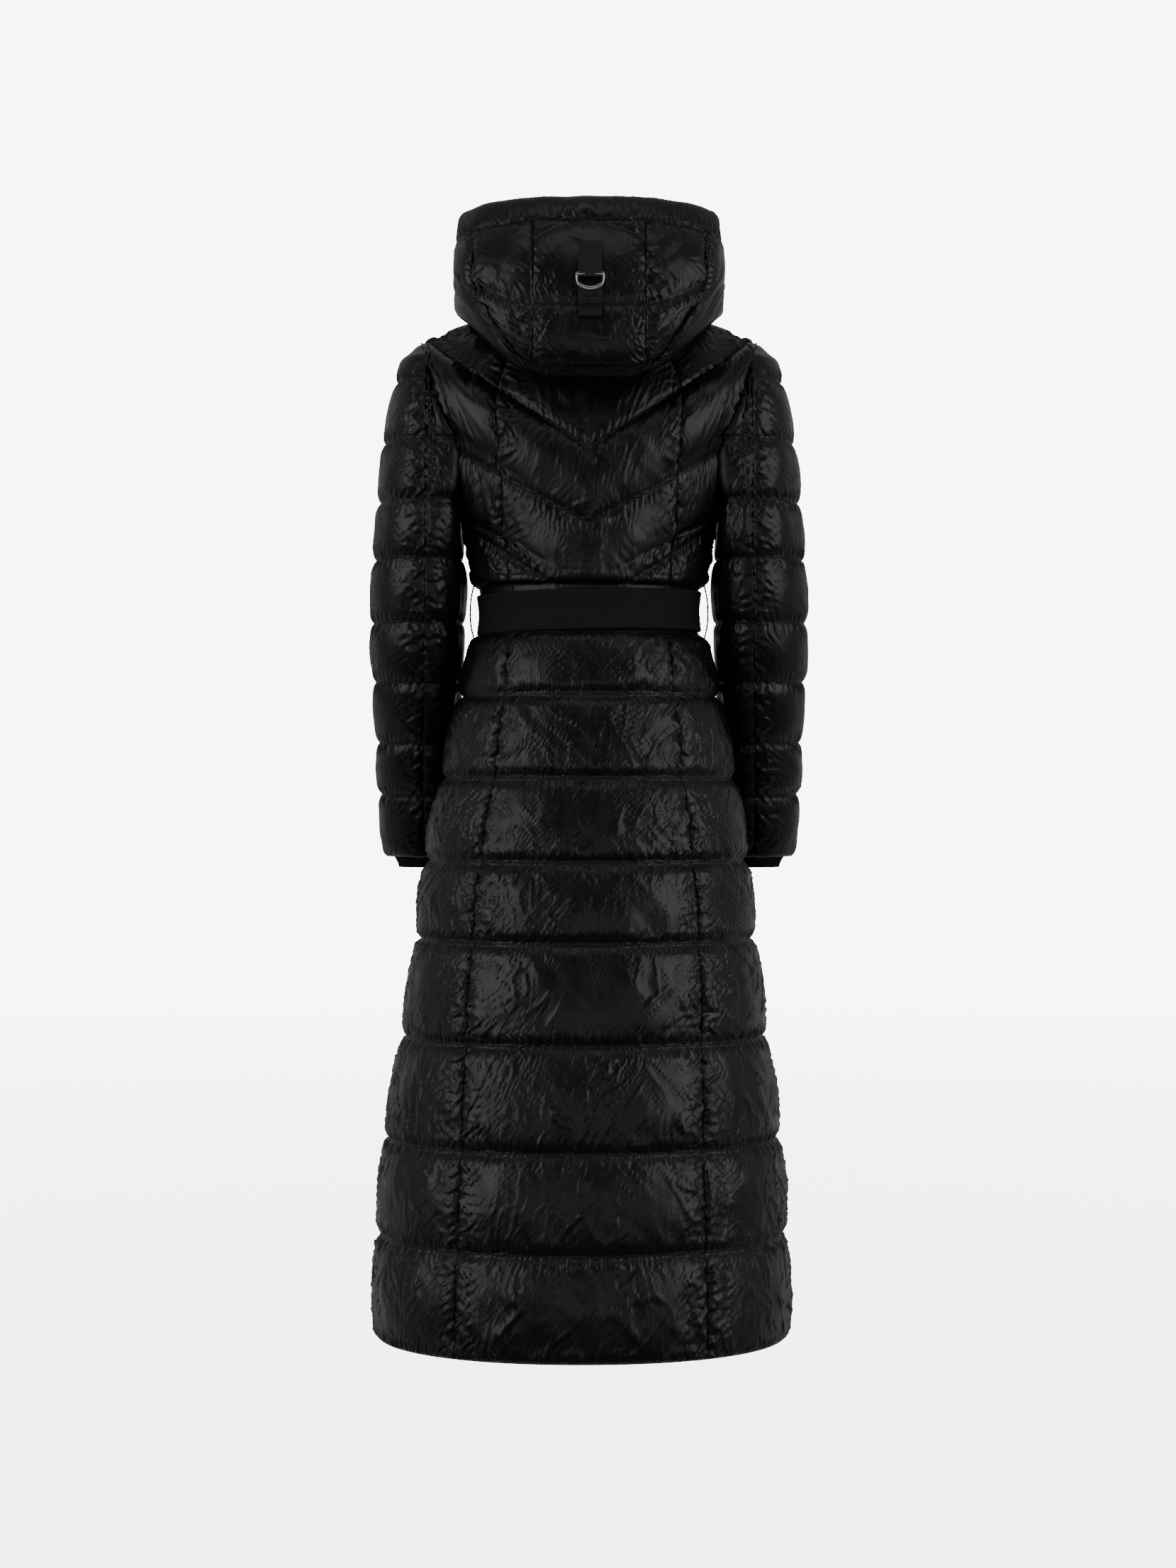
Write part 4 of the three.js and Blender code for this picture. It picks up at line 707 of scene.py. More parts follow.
# A material with one Principled surface; node adds any node from its type, settings and sockets.
class Look:
    def __init__(self, name, fixed):
        self.material = bpy.data.materials.new(name)
        self.material.use_nodes = True
        self.tree = self.material.node_tree
        self.surface = self.tree.nodes["Principled BSDF"]
        for key, value in fixed.items():
            self.surface.inputs[key].default_value = value

    def feed(self, socket, value):
        if isinstance(value, Shade):
            self.tree.links.new(value.socket, socket)
        else:
            socket.default_value = value

    def node(self, kind, settings, sockets, output=0):
        node = self.tree.nodes.new(kind)
        for key, value in settings.items():
            setattr(node, key, value)
        for key, value in sockets.items():
            self.feed(node.inputs[key], value)
        return Shade(self, node.outputs[output])

    def clothPlace(self, stretchU=1.0, stretchV=1.0):
        uv = self.node("ShaderNodeUVMap", {"uv_map": "cloth"}, {})
        return self.node("ShaderNodeMapping", {}, {"Vector": uv, "Scale": (stretchU, stretchV, 1)})

    def noise(self, place, scale, detail=2.0, roughness=0.5):
        sockets = {"Vector": place, "Scale": scale, "Detail": detail, "Roughness": roughness}
        return self.node("ShaderNodeTexNoise", {}, sockets)

    # Sharp thin ridges.
    def ridges(self, place, scale, detail=1.0):
        settings = {"noise_type": "RIDGED_MULTIFRACTAL", "normalize": True}
        sockets = {"Vector": place, "Scale": scale, "Detail": detail}
        sockets.update({"Roughness": 0.5, "Offset": 1.0, "Gain": 1.0})
        return self.node("ShaderNodeTexNoise", settings, sockets)

    # Bands of thread that run diagonally or across X or Y.
    def bands(self, place, direction, scale, distortion, detailScale=1.0):
        settings = {"wave_type": "BANDS", "bands_direction": direction}
        sockets = {"Vector": place, "Scale": scale, "Distortion": distortion, "Detail": 1}
        return self.node("ShaderNodeTexWave", settings, {**sockets, "Detail Scale": detailScale})

    # Stitches of twice the half length in each seam; side and end say where one fades out.
    def stitches(self, seam, place, half, side, end):
        split = self.node("ShaderNodeSeparateXYZ", {}, {"Vector": place})
        along = self.node("ShaderNodeMath", {"operation": "PINGPONG"}, {0: split, 1: half})
        return self.ramp(seam, *side, 1.0, 0.0) * self.ramp(along, *end, 0.0, 1.0)

    # Distance in metres from the nearest seam.
    def seamDistance(self):
        return self.node("ShaderNodeAttribute", {"attribute_name": "seam"}, {}, "Fac")

    def ramp(self, value, low, high, start=0.0, end=1.0):
        sockets = {"Value": value, "From Min": low, "From Max": high, "To Min": start, "To Max": end}
        return self.node("ShaderNodeMapRange", {"interpolation_type": "SMOOTHSTEP"}, sockets)

    def mixColours(self, share, first, second):
        node = self.tree.nodes.new("ShaderNodeMix")
        node.data_type = "RGBA"
        colours = [socket for socket in node.inputs if socket.type == "RGBA"]
        self.feed(node.inputs[0], share)
        for socket, colour in zip(colours, (first, second)):
            socket.default_value = (*colour, 1)
        return Shade(self, next(socket for socket in node.outputs if socket.type == "RGBA"))

    def bump(self, height, strength, distance, under=None):
        sockets = {"Height": height, "Strength": strength, "Distance": distance}
        if under is not None:
            sockets["Normal"] = under
        return self.node("ShaderNodeBump", {}, sockets)

    def finish(self, **values):
        names = {
            "colour": "Base Color", "roughness": "Roughness", "normal": "Normal", "glow": "Emission Color",
        }
        for key, value in values.items():
            self.feed(self.surface.inputs[names[key]], value)
        return self.material


# Thin calendered nylon: near black with a cold sheen, crinkled finely across the channels and
# most of all beside the seams, with a line of small stitches in each seam.
nylon = {
    "dark": (0.0035, 0.0035, 0.0045),
    "light": (0.0065, 0.0065, 0.0085),
    "roughness": (0.3, 0.42),
    "stitch": 0.0032,
}


def nylonLook():
    look = Look("padded nylon", {"Specular IOR Level": 0.5, "IOR": 1.5})
    long, even = look.clothPlace(1, 0.14), look.clothPlace()
    seam = look.seamDistance()
    nearSeam = look.ramp(seam, 0.0, 0.03, 1.0, 0.3)
    sockets = {0: look.noise(even, 16, 2), 1: (0.03, 0.0, 0), 2: long}
    bend = look.node("ShaderNodeVectorMath", {"operation": "MULTIPLY_ADD"}, sockets)
    crinkle = look.ridges(bend, 95) * nearSeam * look.ramp(look.noise(even, 28, 1), 0.4, 0.62, 0.2, 1.0)
    fine = look.noise(even, 900, 2, 0.5)
    stitch = look.stitches(seam, even, nylon["stitch"] / 2, (0.0005, 0.0011), (0.0003, 0.0007))
    patch = look.noise(even, 14, 3, 0.6)
    colour = look.mixColours(patch, nylon["dark"], nylon["light"])
    low, high = nylon["roughness"]
    dull = patch * 0.5 + look.noise(long, 60, 2, 0.5) * 0.5
    roughness = look.ramp(dull, 0.35, 0.65, low, high) + stitch * 0.2
    normal = look.bump(crinkle, 0.6, 0.0011)
    normal = look.bump(fine, 0.12, 0.00012, normal)
    normal = look.bump(stitch, 0.8, 0.0004, normal)
    return look.finish(colour=colour, roughness=roughness, normal=normal)


# Woven belt: fine ribs across, a twill grain, and stitches in the lines of topstitching.
def webbingLook():
    look = Look("stitched webbing", {"Specular IOR Level": 0.35})
    even = look.clothPlace()
    weave = look.bands(even, "DIAGONAL", 420, 1.2, 2) * 0.6 + look.bands(even, "X", 300, 0.6) * 0.4
    fuzz = look.noise(even, 1500, 2)
    colour = look.mixColours(weave * 0.6 + fuzz * 0.4, (0.005, 0.005, 0.0055), (0.013, 0.013, 0.014))
    stitch = look.stitches(look.seamDistance(), even, 0.0014, (0.0004, 0.0009), (0.0002, 0.0005))
    normal = look.bump(weave, 0.6, 0.0003)
    normal = look.bump(stitch, 0.8, 0.0005, normal)
    return look.finish(colour=colour, roughness=0.78 - stitch * 0.16, normal=normal)


# Rib knit: the ribs are in the shape; the loops of yarn and its fuzz are here.
def knitLook():
    look = Look("rib knit", {"Specular IOR Level": 0.25})
    even = look.clothPlace()
    loops = look.bands(even, "Y", 230, 1.5, 3)
    fuzz = look.noise(even, 1100, 3, 0.7)
    colour = look.mixColours(loops * 0.5 + fuzz * 0.5, (0.004, 0.004, 0.0045), (0.011, 0.011, 0.012))
    normal = look.bump(loops * 0.7 + fuzz * 0.5, 0.7, 0.0004)
    return look.finish(colour=colour, roughness=0.9 - fuzz * 0.1, normal=normal)


# Polished steel with faint scratches and dull spots.
def steelLook():
    look = Look("polished steel", {"Metallic": 1.0})
    place = look.node("ShaderNodeTexCoord", {}, {}, "Object")
    dull = look.noise(place, 260, 4, 0.6)
    scratch = look.noise(look.node("ShaderNodeMapping", {}, {"Vector": place, "Scale": (1, 1, 9)}), 900, 2)
    colour = look.mixColours(dull, (0.62, 0.63, 0.65), (0.82, 0.83, 0.85))
    roughness = look.ramp(dull, 0.35, 0.7, 0.12, 0.28)
    return look.finish(colour=colour, roughness=roughness, normal=look.bump(scratch, 0.1, 0.00005))


nylonCloth, webbing, knit, steel = nylonLook(), webbingLook(), knitLook(), steelLook()
print("materials made")


# Height of the cloth over the wall: a pillow between the quilting lines that dips beside the
# long seams along a quarter circle.
def padding(low, crest, edge, share, fromEdge):
    rise = low + (crest - low) * pillow(share, 0.56)
    dip = 1 - clamp(fromEdge / 15, 0, 1)
    return mix(edge, rise, np.sqrt(1 - dip**2))


# Height of a long seam: the same pillow, lower.
def seamHeight(low, crest, share):
    return low + quilting["edgeLift"] * (crest - low) * pillow(share, 0.56)


# The cloth of one panel, from its flat points: its height, how much spare cloth it has both
# ways, and its small creases.
def quilt(points, normal, share, seamRows, fullness, panel):
    shape, seed = fullness.shape, panel["seed"]
    base = points + normal * coat["wallOut"]
    u, v = distances(points)
    fromSeam = np.full(shape, 1e3)
    for seamRow in seamRows:
        fromSeam = np.minimum(fromSeam, np.abs(v - v[seamRow]))
    fromEdge = np.minimum(np.abs(u - u[:, :1]), np.abs(u - u[:, -1:]))
    share = np.broadcast_to(share[:, None], shape)
    full = smooth(fullness, 0, 0.35)
    low = panel.get("lift", quilting["seamLift"] * full)
    crest = np.maximum(panel.get("crest", panel["puff"]) * full, low)
    edge = panel.get("edge", seamHeight(low, crest, share))
    height = padding(low, crest, edge, share, fromEdge)
    held = smooth(fromSeam, 0, 14) * smooth(fromEdge, 0, 14) * full
    slack = panel.get("slack", 1.0)
    lumps = grain(seed + 7, u / 24, v / 34) + 0.4 * grain(seed + 8, (u + 0.6 * v) / 14, v / 26)
    height = height + quilting["lumps"] * lumps * held * slack
    pinned = fullness < 0.03
    pinned[seamRows] = True
    pinned[:, [0, -1]] = True
    target = base + normal * height[..., None]
    rng = np.random.default_rng(seed + 500)
    varied = clamp(1 + 0.5 * patches(rng, shape, 12, 12), 0.1, 2)
    loose = panel["loose"] + quilting["seamGather"] * np.exp(-((fromSeam / 11) ** 2)) + panel.get("gather", 0)
    sideways = np.exp(-((fromEdge / 22) ** 2)) * smooth(fromSeam, 0, 14)
    spare = quilting["spare"] + quilting["edgeGather"] * sideways
    loose = np.maximum(loose, 0) * varied * full * (1 - 0.7 * sideways)
    spare = spare * clamp(1 + 0.5 * patches(rng, shape, 9, 14), 0.1, 2) * full
    slack = full * slack
    upright = gridNormal(target, normal)
    cloth = settleCloth(target, upright, pinned, loose, spare, seed, sideways, slack, panel["cell"])
    held = smooth(fromSeam, 0, 5) * smooth(fromEdge, 0, 5) * slack * panel["streak"]
    marks = creases(seed, u, v, fromSeam, panel["scale"], panel["crossing"], panel.get("slant", 0.75))
    return cloth + normal * (quilting["streak"] * marks * held)[..., None]


# One padded panel of cloth between two lines across and a number of seams. fullness is 0 where
# the panel lies flat, loose and gather are its spare cloth along the seams, and lift, edge and
# crest are the heights of a quilting line, of a long seam and of the padding between them.
def padPanel(name, panel):
    rows, share, seamRows = panel["rows"]
    surface, normalAt = panel["surface"], panel["normal"]
    columns = panel["columns"]
    even = np.linspace(0, 1, columns + 1)[None, :]
    fromRow, toRow = panel["start"](rows)[:, None], panel["end"](rows)[:, None]
    row = np.broadcast_to(rows[:, None], (len(rows), columns + 1))
    spread = panel["warp"](even, row) if "warp" in panel else np.broadcast_to(even, row.shape)
    across = mix(fromRow, toRow, spread)
    across = np.where(even == 0, fromRow, np.where(even == 1, toRow, across))
    points, normal = surface(across, row), normalAt(across, row)
    gap = panel.get("gap", coat["seamGap"]) / 2
    shift = np.zeros_like(points)
    for edge, inner in ((0, 1), (-1, -2)):
        along = unit(np.gradient(points[:, edge], axis=0))
        inward = points[:, inner] - points[:, edge]
        inward = inward - along * np.sum(inward * along, axis=-1, keepdims=True)
        shift[:, edge] += unit(inward) * gap
        inward = points[inner] - points[edge]
        length = np.linalg.norm(inward, axis=-1, keepdims=True)
        shift[edge] += np.where(length > 1e-6, unit(inward) * gap, 0)
    points = points + shift
    fullness = panel["fullness"](across, spread, row)
    measured = {key: panel[key](across, row) for key in ("gather", "crest", "lift", "edge") if key in panel}
    outer = quilt(points, normal, share, seamRows, fullness, {**panel, **measured})
    inner = (points - normal * coat["wallIn"])[::4, ::4]
    piece = addWall(name, outer, inner, nylonCloth, seamRows)
    return dress(piece, name)


# A line and a spread of columns mirrored to the other side.
def opposite(line):
    return lambda row: -line(row)


def mirrorWarp(warp):
    return lambda share, row: 1 - warp(1 - share, row)


# A panel on the wearer's left between two lines, and its mirror on the right.
def padPair(name, panel, start, end):
    padPanel(f"{name}_L", {**panel, "start": start, "end": end})
    mirrored = {**panel, "start": opposite(end), "end": opposite(start), "seed": panel["seed"] + 1}
    if "warp" in panel:
        mirrored["warp"] = mirrorWarp(panel["warp"])
    padPanel(f"{name}_R", mirrored)


# Skirt: five panels of level channels.
skirt = {
    "seams": list(range(10)),
    "cells": [8, 20, 28, 28, 28, 32, 32, 32, 32],
    "puff": 12.4,
}
skirtSamples = channelRows(skirt["seams"], skirt["cells"])


# The long seam, at the table's distance from the middle.
def skirtSeam(row):
    return acrossAt(skirtAt, row, column(skirtRows, "seamX", row))


# 1 for padding and 0 for a flat place: the front's strip beside the closed edge is flat.
def flatBeside(surface, across, row):
    reach = np.abs(surface(across, row)[..., 0] - surface(np.full_like(across, 2.0), row)[..., 0])
    return np.where(np.abs(across) < 1, 1, smooth(reach, fly["strip"], 44))


def skirtFullness(across, spread, row):
    return np.where(row < 1, 0, 1) * flatBeside(skirtAt, across, row)


# The side seam and the front edge.
def sideLine(row):
    return np.full_like(row, frontSide)


def frontLine(row):
    return np.full_like(row, 2.0)


skirtPanel = {
    "rows": skirtSamples, "surface": skirtAt, "normal": skirtNormal, "puff": skirt["puff"],
    "fullness": skirtFullness, "loose": 0.03, "cell": 4.2, "scale": 1.15, "streak": 1.7, "crossing": 1.4,
}


def skirtWarp(share, row):
    return flatWarp(skirtAt, sideLine(row), share, row)


skirtMiddle = {"columns": 156, "start": opposite(skirtSeam), "end": skirtSeam, "seed": 11}
padPanel("skirt_back_centre", {**skirtPanel, **skirtMiddle})
padPair("skirt_back_side", {**skirtPanel, "columns": 104, "seed": 12}, skirtSeam, np.ones_like)
padPair("skirt_front", {**skirtPanel, "columns": 112, "warp": skirtWarp, "seed": 14}, sideLine, frontLine)
print("skirt made")


# Bodice: five panels of chevrons, flat under the belt and thin at the armhole.
bodiceSamples = channelRows([4, 3, 2, 1, 0], [40, 28, 32, 28])


# The long seam, at the table's distance from the middle.
def bodiceSeam(row):
    return acrossAt(bodiceAt, row, column(bodiceRows, "seamX", row))


def bodiceFullness(across, spread, row):
    underBelt = smooth(bodiceAt(across, row)[..., 2], -328, -310)
    fromArmhole = smooth(1 - np.abs(np.abs(across) - 1), 1.01, 0.9)
    fromArmhole = np.where(row > 1, mix(fromArmhole, 1, smooth(row, 3.05, 3.8)), 1)
    nearNeck = 1 - smooth(row, 3.4, 3.9)
    return underBelt * fromArmhole * nearNeck * flatBeside(bodiceAt, across, row)


# Height of its long seams, and of its edge at the armhole.
def bodiceEdgeLift(across, row):
    atHole = (row > 1 + sideShare) & (row < 3 + 1e-6) & (np.abs(np.abs(across) - 1) < 1e-6)
    full = smooth(bodiceFullness(across, 0, row), 0, 0.35)
    part = np.where(row > 3.999, 0, row - np.floor(row))
    plain = seamHeight(bodice["lift"] * full, bodice["puff"] * full, part)
    return np.where(atHole, holeLift(armholeAngle(row)), plain)


def bodiceLift(across, row):
    return bodice["lift"] * smooth(bodiceFullness(across, 0, row), 0, 0.35)


# The top channel has less spare cloth.
def bodiceGather(across, row):
    return -0.24 * smooth(row, 3.0, 3.3)


bodice = {"puff": 8.4, "lift": 2.6}
bodicePanel = {
    "rows": bodiceSamples, "surface": bodiceAt, "normal": bodiceNormal, "puff": bodice["puff"],
    "fullness": bodiceFullness, "lift": bodiceLift, "edge": bodiceEdgeLift, "gather": bodiceGather,
    "loose": 0.045, "cell": 3.1, "scale": 1.1, "streak": 1.3, "crossing": 0.9,
}


def bodiceWarp(share, row):
    return flatWarp(bodiceAt, sideLine(row), share, row)


bodiceMiddle = {"columns": 104, "start": opposite(bodiceSeam), "end": bodiceSeam, "seed": 21}
padPanel("bodice_back_centre", {**bodicePanel, **bodiceMiddle})
padPair("bodice_back_side", {**bodicePanel, "columns": 56, "seed": 22}, bodiceSeam, np.ones_like)
padPair("bodice_front", {**bodicePanel, "columns": 72, "warp": bodiceWarp, "seed": 24}, sideLine, frontLine)
print("bodice made")


# Sleeves: an outer and an under panel, cut away by the armhole at the top.
sleeve = {
    "lift": 2.2, "cells": [16] + [20] * 8, "outer": 84, "under": 64,
    "cloth": {"puff": 8.2, "loose": 0.03, "cell": 3.2, "scale": 1.6, "streak": 0.48, "crossing": 1.5},
}
sleeveSamples = channelRows(sleeveSeams, sleeve["cells"])


# Points and normals of a sleeve panel's grid, each point's angle round the armhole and whether it
# lies on the armhole, where the bodice's normal is shared.
def sleeveGrid(under, spread, z):
    surface = sleeveUnderAt if under else sleeveOuterAt
    place = spread if under else mix(seamAngle, -seamAngle, spread)
    points = surface(place, z)
    inside = vector(atLevel(sleeveRows, "seamX", z) + 6, atLevel(sleeveRows, "midY", z), z)
    stepped = np.minimum(clamp(z, -650, -33.5), points[..., 2] - 1)
    normal = normalOf(surface, place, stepped, inside, 0.5)
    frontSign = np.where(spread > 0.5, -1.0, 1.0)
    onSeam = (spread == 0) | (spread == 1)
    normal = np.where((onSeam & (z < startZ))[..., None], vector(0, frontSign, 0), normal)
    angle = underAngle(spread) if under else loopAngleAt(z) * frontSign
    atHole = z >= armholeEdge(angle)[..., 2] - 1e-6 if under else onSeam & (z >= startZ)
    normal = np.where(atHole[..., None], armholeNormal(angle, normal, 1), normal)
    return points, normal, np.abs(angle), atHole


# Padding: on the outer panel it rises from the shoulder, and on the under panel from the
# armhole, with less of it where the sleeve faces the body.
def sleeveFullness(under, spread, points, z):
    if not under:
        return smooth(-z, 33, 96)
    towardsBody = smooth(np.minimum(spread, 1 - spread), 0.15, 0.35)
    return (1 - 0.75 * towardsBody) * smooth(points[:1, :, 2] - z, 0, 22)


# The rows above the armhole fall together on it: each point there shares the last such row.
def weldedRows(atHole):
    order = np.broadcast_to(np.arange(len(atHole))[:, None], atHole.shape)
    return np.maximum(order, np.where(atHole, order, 0).max(axis=0)[None, :])


def sleevePanel(hand, side, under, seed):
    levels, share, seamRows = sleeveSamples
    name = f"sleeve_{'under' if under else 'outer'}_{hand}"
    columns = sleeve["under" if under else "outer"]
    spread, z = np.broadcast_arrays(np.linspace(0, 1, columns + 1)[None, :], levels[:, None])
    points, normal, angle, atHole = sleeveGrid(under, spread, z)
    for edge, inner in ((0, 1), (-1, -2)):
        inward = (points[:, inner] - points[:, edge]) * np.array([1, 1, 0.0])
        points[:, edge] += unit(inward) * coat["seamGap"] / 2
    fullness = sleeveFullness(under, spread, points, z)
    full = smooth(fullness, 0, 0.35)
    low = np.where(atHole, holeLift(angle), sleeve["lift"] * full)
    crest = np.maximum(sleeve["cloth"]["puff"] * full, low)
    edge = np.where(atHole, holeLift(angle), seamHeight(low, crest, share[:, None]))
    panel = {**sleeve["cloth"], "seed": seed, "slack": 0.6 if under else 0.9, "lift": low, "edge": edge}
    outer = quilt(points, normal, share, seamRows, fullness, panel)
    inner = (points - normal * coat["wallIn"])[::4, ::4]
    if under:
        outer, inner = settled(outer, 0.6), settled(inner, 3.6)
    flip = np.array([side, 1.0, 1.0])
    weld = weldedRows(atHole) if under else None
    piece = addWall(name, outer * flip, inner * flip, nylonCloth, seamRows, weld)
    return dress(piece, name)


for hand, side, seed in (("L", 1.0, 31), ("R", -1.0, 41)):
    sleevePanel(hand, side, False, seed)
    sleevePanel(hand, side, True, seed + 1)
print("sleeves made")


# Hood: a bag that hangs down the back, in five panels with a rim.
# The crown's outer seam, at the table's distance from the middle, and the seam inside it.
def crownSeam(row):
    return acrossAt(hoodAt, row, column(hoodRows, "crownX", row))


def centreSeam(row):
    return acrossAt(hoodAt, row, np.minimum(64, 0.82 * column(hoodRows, "crownX", row)))


# Flat at the neck and beside the front edge.
def hoodFullness(across, spread, row):
    return smooth(row, 0.6, 2.4) * flatBeside(hoodAt, across, row)


# The share of its channel that a row has passed.
def hoodPart(row):
    order = np.clip(np.searchsorted(hoodSeams, row, side="left") - 1, 0, 3)
    seams = np.array(hoodSeams, dtype=float)
    return (row - seams[order]) / (seams[order + 1] - seams[order])


# How far out a place is, as a share of the crown's outer seam.
def crownShare(across, row):
    size = np.abs(hoodAt(across, row)[..., 0])
    return size / column(hoodRows, "crownX", row)


# Heights of the lines across the hood and of its long seams. The crown is sewn down in shallow
# lines; beyond its outer seam a full roll runs round it and up into the rim.
def hoodLift(across, row):
    line = np.where(np.abs(row - hood["foldRow"]) < 0.4, 0.6, 1.6)
    return mix(line, 4.2, smooth(crownShare(across, row), 0.9, 1.06)) * hoodFullness(across, 0, row)


def hoodEdge(across, row):
    crown = 1.2 + 2.6 * pillow(hoodPart(row), 0.45)
    edge = mix(crown, 2.6, smooth(crownShare(across, row), 0.86, 0.98))
    return edge * hoodFullness(across, 0, row)


def hoodWarp(share, row):
    return flatWarp(hoodAt, crownSeam(row), share, row)


# Height of the plain pillow under the strap, which lies on it.
def pillowAt(row):
    low = np.where(np.abs(row - hood["foldRow"]) < 0.4, 0.6, 1.6)
    return np.maximum(low + (hood["strapCrest"] - low) * pillow(hoodPart(row), 0.42) + 0.5, 3.2)


# The middle panel has an arched line of stitching below the rim, and the plain pillow under
# the strap.
def crownCrest(across, row):
    x = np.abs(hoodAt(across, row)[..., 0])
    arch = 6.9 - 0.47 * (x / 66) ** 2
    free = hood["puff"] * mix(0.3, 1, smooth(np.abs(row - arch), 0.0, 0.12))
    return np.where((x < 16) & (row > 4.9) & (row < 6.42), hood["strapCrest"], free)


# The crown is drawn together along the line across its middle.
def hoodGather(across, row):
    return 0.13 * np.exp(-(((row - hood["foldRow"]) / 0.4) ** 2))


# Elastic gathers below the sewn patch.
def crownGather(across, row):
    x = np.abs(hoodAt(across, row)[..., 0])
    below = smooth(row, 3.7, 4.1) * (1 - smooth(row, 4.7, 4.95))
    return hoodGather(across, row) + 0.22 * (1 - smooth(x, 12, 28)) * below


# The rim is gathered where it meets the hood.
def rimGather(across, row):
    return 0.1 * (1 - smooth(row, 7.2, 8.2))


hood = {"puff": 6.2, "foldRow": 5.2, "strapCrest": 5.6}
hoodSamples = channelRows(hoodSeams[:4], [32, 28, 28])
hoodPanel = {
    "rows": hoodSamples, "surface": hoodAt, "normal": hoodNormal, "puff": hood["puff"], "gap": 0.06,
    "fullness": hoodFullness, "lift": hoodLift, "edge": hoodEdge, "loose": 0.02,
    "cell": 6.5, "scale": 1.9, "streak": 0.5, "crossing": 2.8, "slant": 2.4,
}
crownMiddle = {
    "columns": 64, "start": opposite(centreSeam), "end": centreSeam,
    "crest": crownCrest, "gather": crownGather, "seed": 51,
}
hoodRoll = {
    **hoodPanel, "rows": (hoodSamples[0], hoodSamples[0] / 7, [0, len(hoodSamples[0]) - 1]),
    "puff": 7.0, "streak": 0.3, "crossing": 1.6, "loose": 0.006,
}
hoodRim = {
    "rows": channelRows([7, 9], [20]), "columns": 380, "start": opposite(frontLine), "end": frontLine,
    "puff": 6.6, "loose": 0.01, "gather": rimGather, "streak": 0.45, "crossing": 1.0, "seed": 56,
}
padPanel("hood_crown_centre", {**hoodPanel, **crownMiddle})
crownSide = {"columns": 32, "gather": hoodGather, "seed": 52}
padPair("hood_crown_side", {**hoodPanel, **crownSide}, centreSeam, crownSeam)
padPair("hood_side", {**hoodRoll, "columns": 124, "warp": hoodWarp, "seed": 54}, crownSeam, frontLine)
padPanel("hood_rim", {**hoodPanel, **hoodRim})
print("hood made")


# The place across a surface of a given x, on the front and on the back.
def onFront(surface, row, x):
    size = acrossAt(surface, row, np.abs(x), True)
    return np.where(x < 0, -size, size)


def onBack(surface, row, x):
    size = acrossAt(surface, row, np.abs(x))
    return np.where(x < 0, -size, size)


# Fly: a lightly padded strip over the closed front edges. Its stations run along the skirt
# from the hem up, along the bodice, then along the hood to its rim.
def flyRun():
    parts = []
    for surface, normal, stops, count, lift in (
        (skirtAt, skirtNormal, (9, 0), 240, lambda row: np.where(row < 1, 0.9, 0)),
        (bodiceAt, bodiceNormal, (0, 4), 84, lambda row: np.where((row < 1.2) | (row > 3.5), 0.9, 0)),
        (hoodAt, hoodNormal, (0, 8), 52, lambda row: np.where(row < 1.5, 0.5, 0)),
    ):
        rows = np.linspace(*stops, count + 1)
        if parts:
            rows = rows[1:]
        across = np.linspace(-fly["halfWidth"], fly["halfWidth"], fly["columns"] + 1)[None, :]
        row = np.broadcast_to(rows[:, None], (len(rows), across.shape[1]))
        place = onFront(surface, row, np.broadcast_to(across, row.shape))
        up = normal(place, row)
        parts.append((surface(place, row) + up * lift(row)[..., None], up))
    points, normal = (np.concatenate([part[i] for part in parts]) for i in (0, 1))
    extra = (len(points) - 1) % 4          # the inner face takes every fourth row
    return points[extra:] if extra else points, normal[extra:] if extra else normal


flyPoints, flyNormal = flyRun()
flyBase = flyPoints + flyNormal * (coat["wallOut"] + coat["laidOver"] + fly["wall"] - fly["puff"] * 0.4)
flyEven = np.broadcast_to(np.linspace(0, 1, fly["columns"] + 1)[None, :], flyBase.shape[:2])
flyPinned = np.abs(np.abs(flyEven - 0.5) - 0.5) < 0.001
flyPinned |= np.abs(np.abs(flyEven - 0.5) - 0.375) < 0.01
flyPinned[[0, -1]] = True
flyTarget = flyBase + flyNormal * (fly["puff"] * 0.6 * pillow(flyEven, 0.5) * ~flyPinned)[..., None]
flyLoose = np.full(flyEven.shape, 0.01)
flyOuter = settleCloth(
    flyTarget, flyNormal, flyPinned, flyLoose, flyLoose + 0.05, 61, flyLoose + 0.9, 0.45 * ~flyPinned
)
flyInner = (flyPoints + flyNormal * (coat["wallOut"] + coat["laidOver"]))[::4, ::4]
flyPiece = dress(addWall("front_fly", flyOuter, flyInner, nylonCloth), "front_fly")


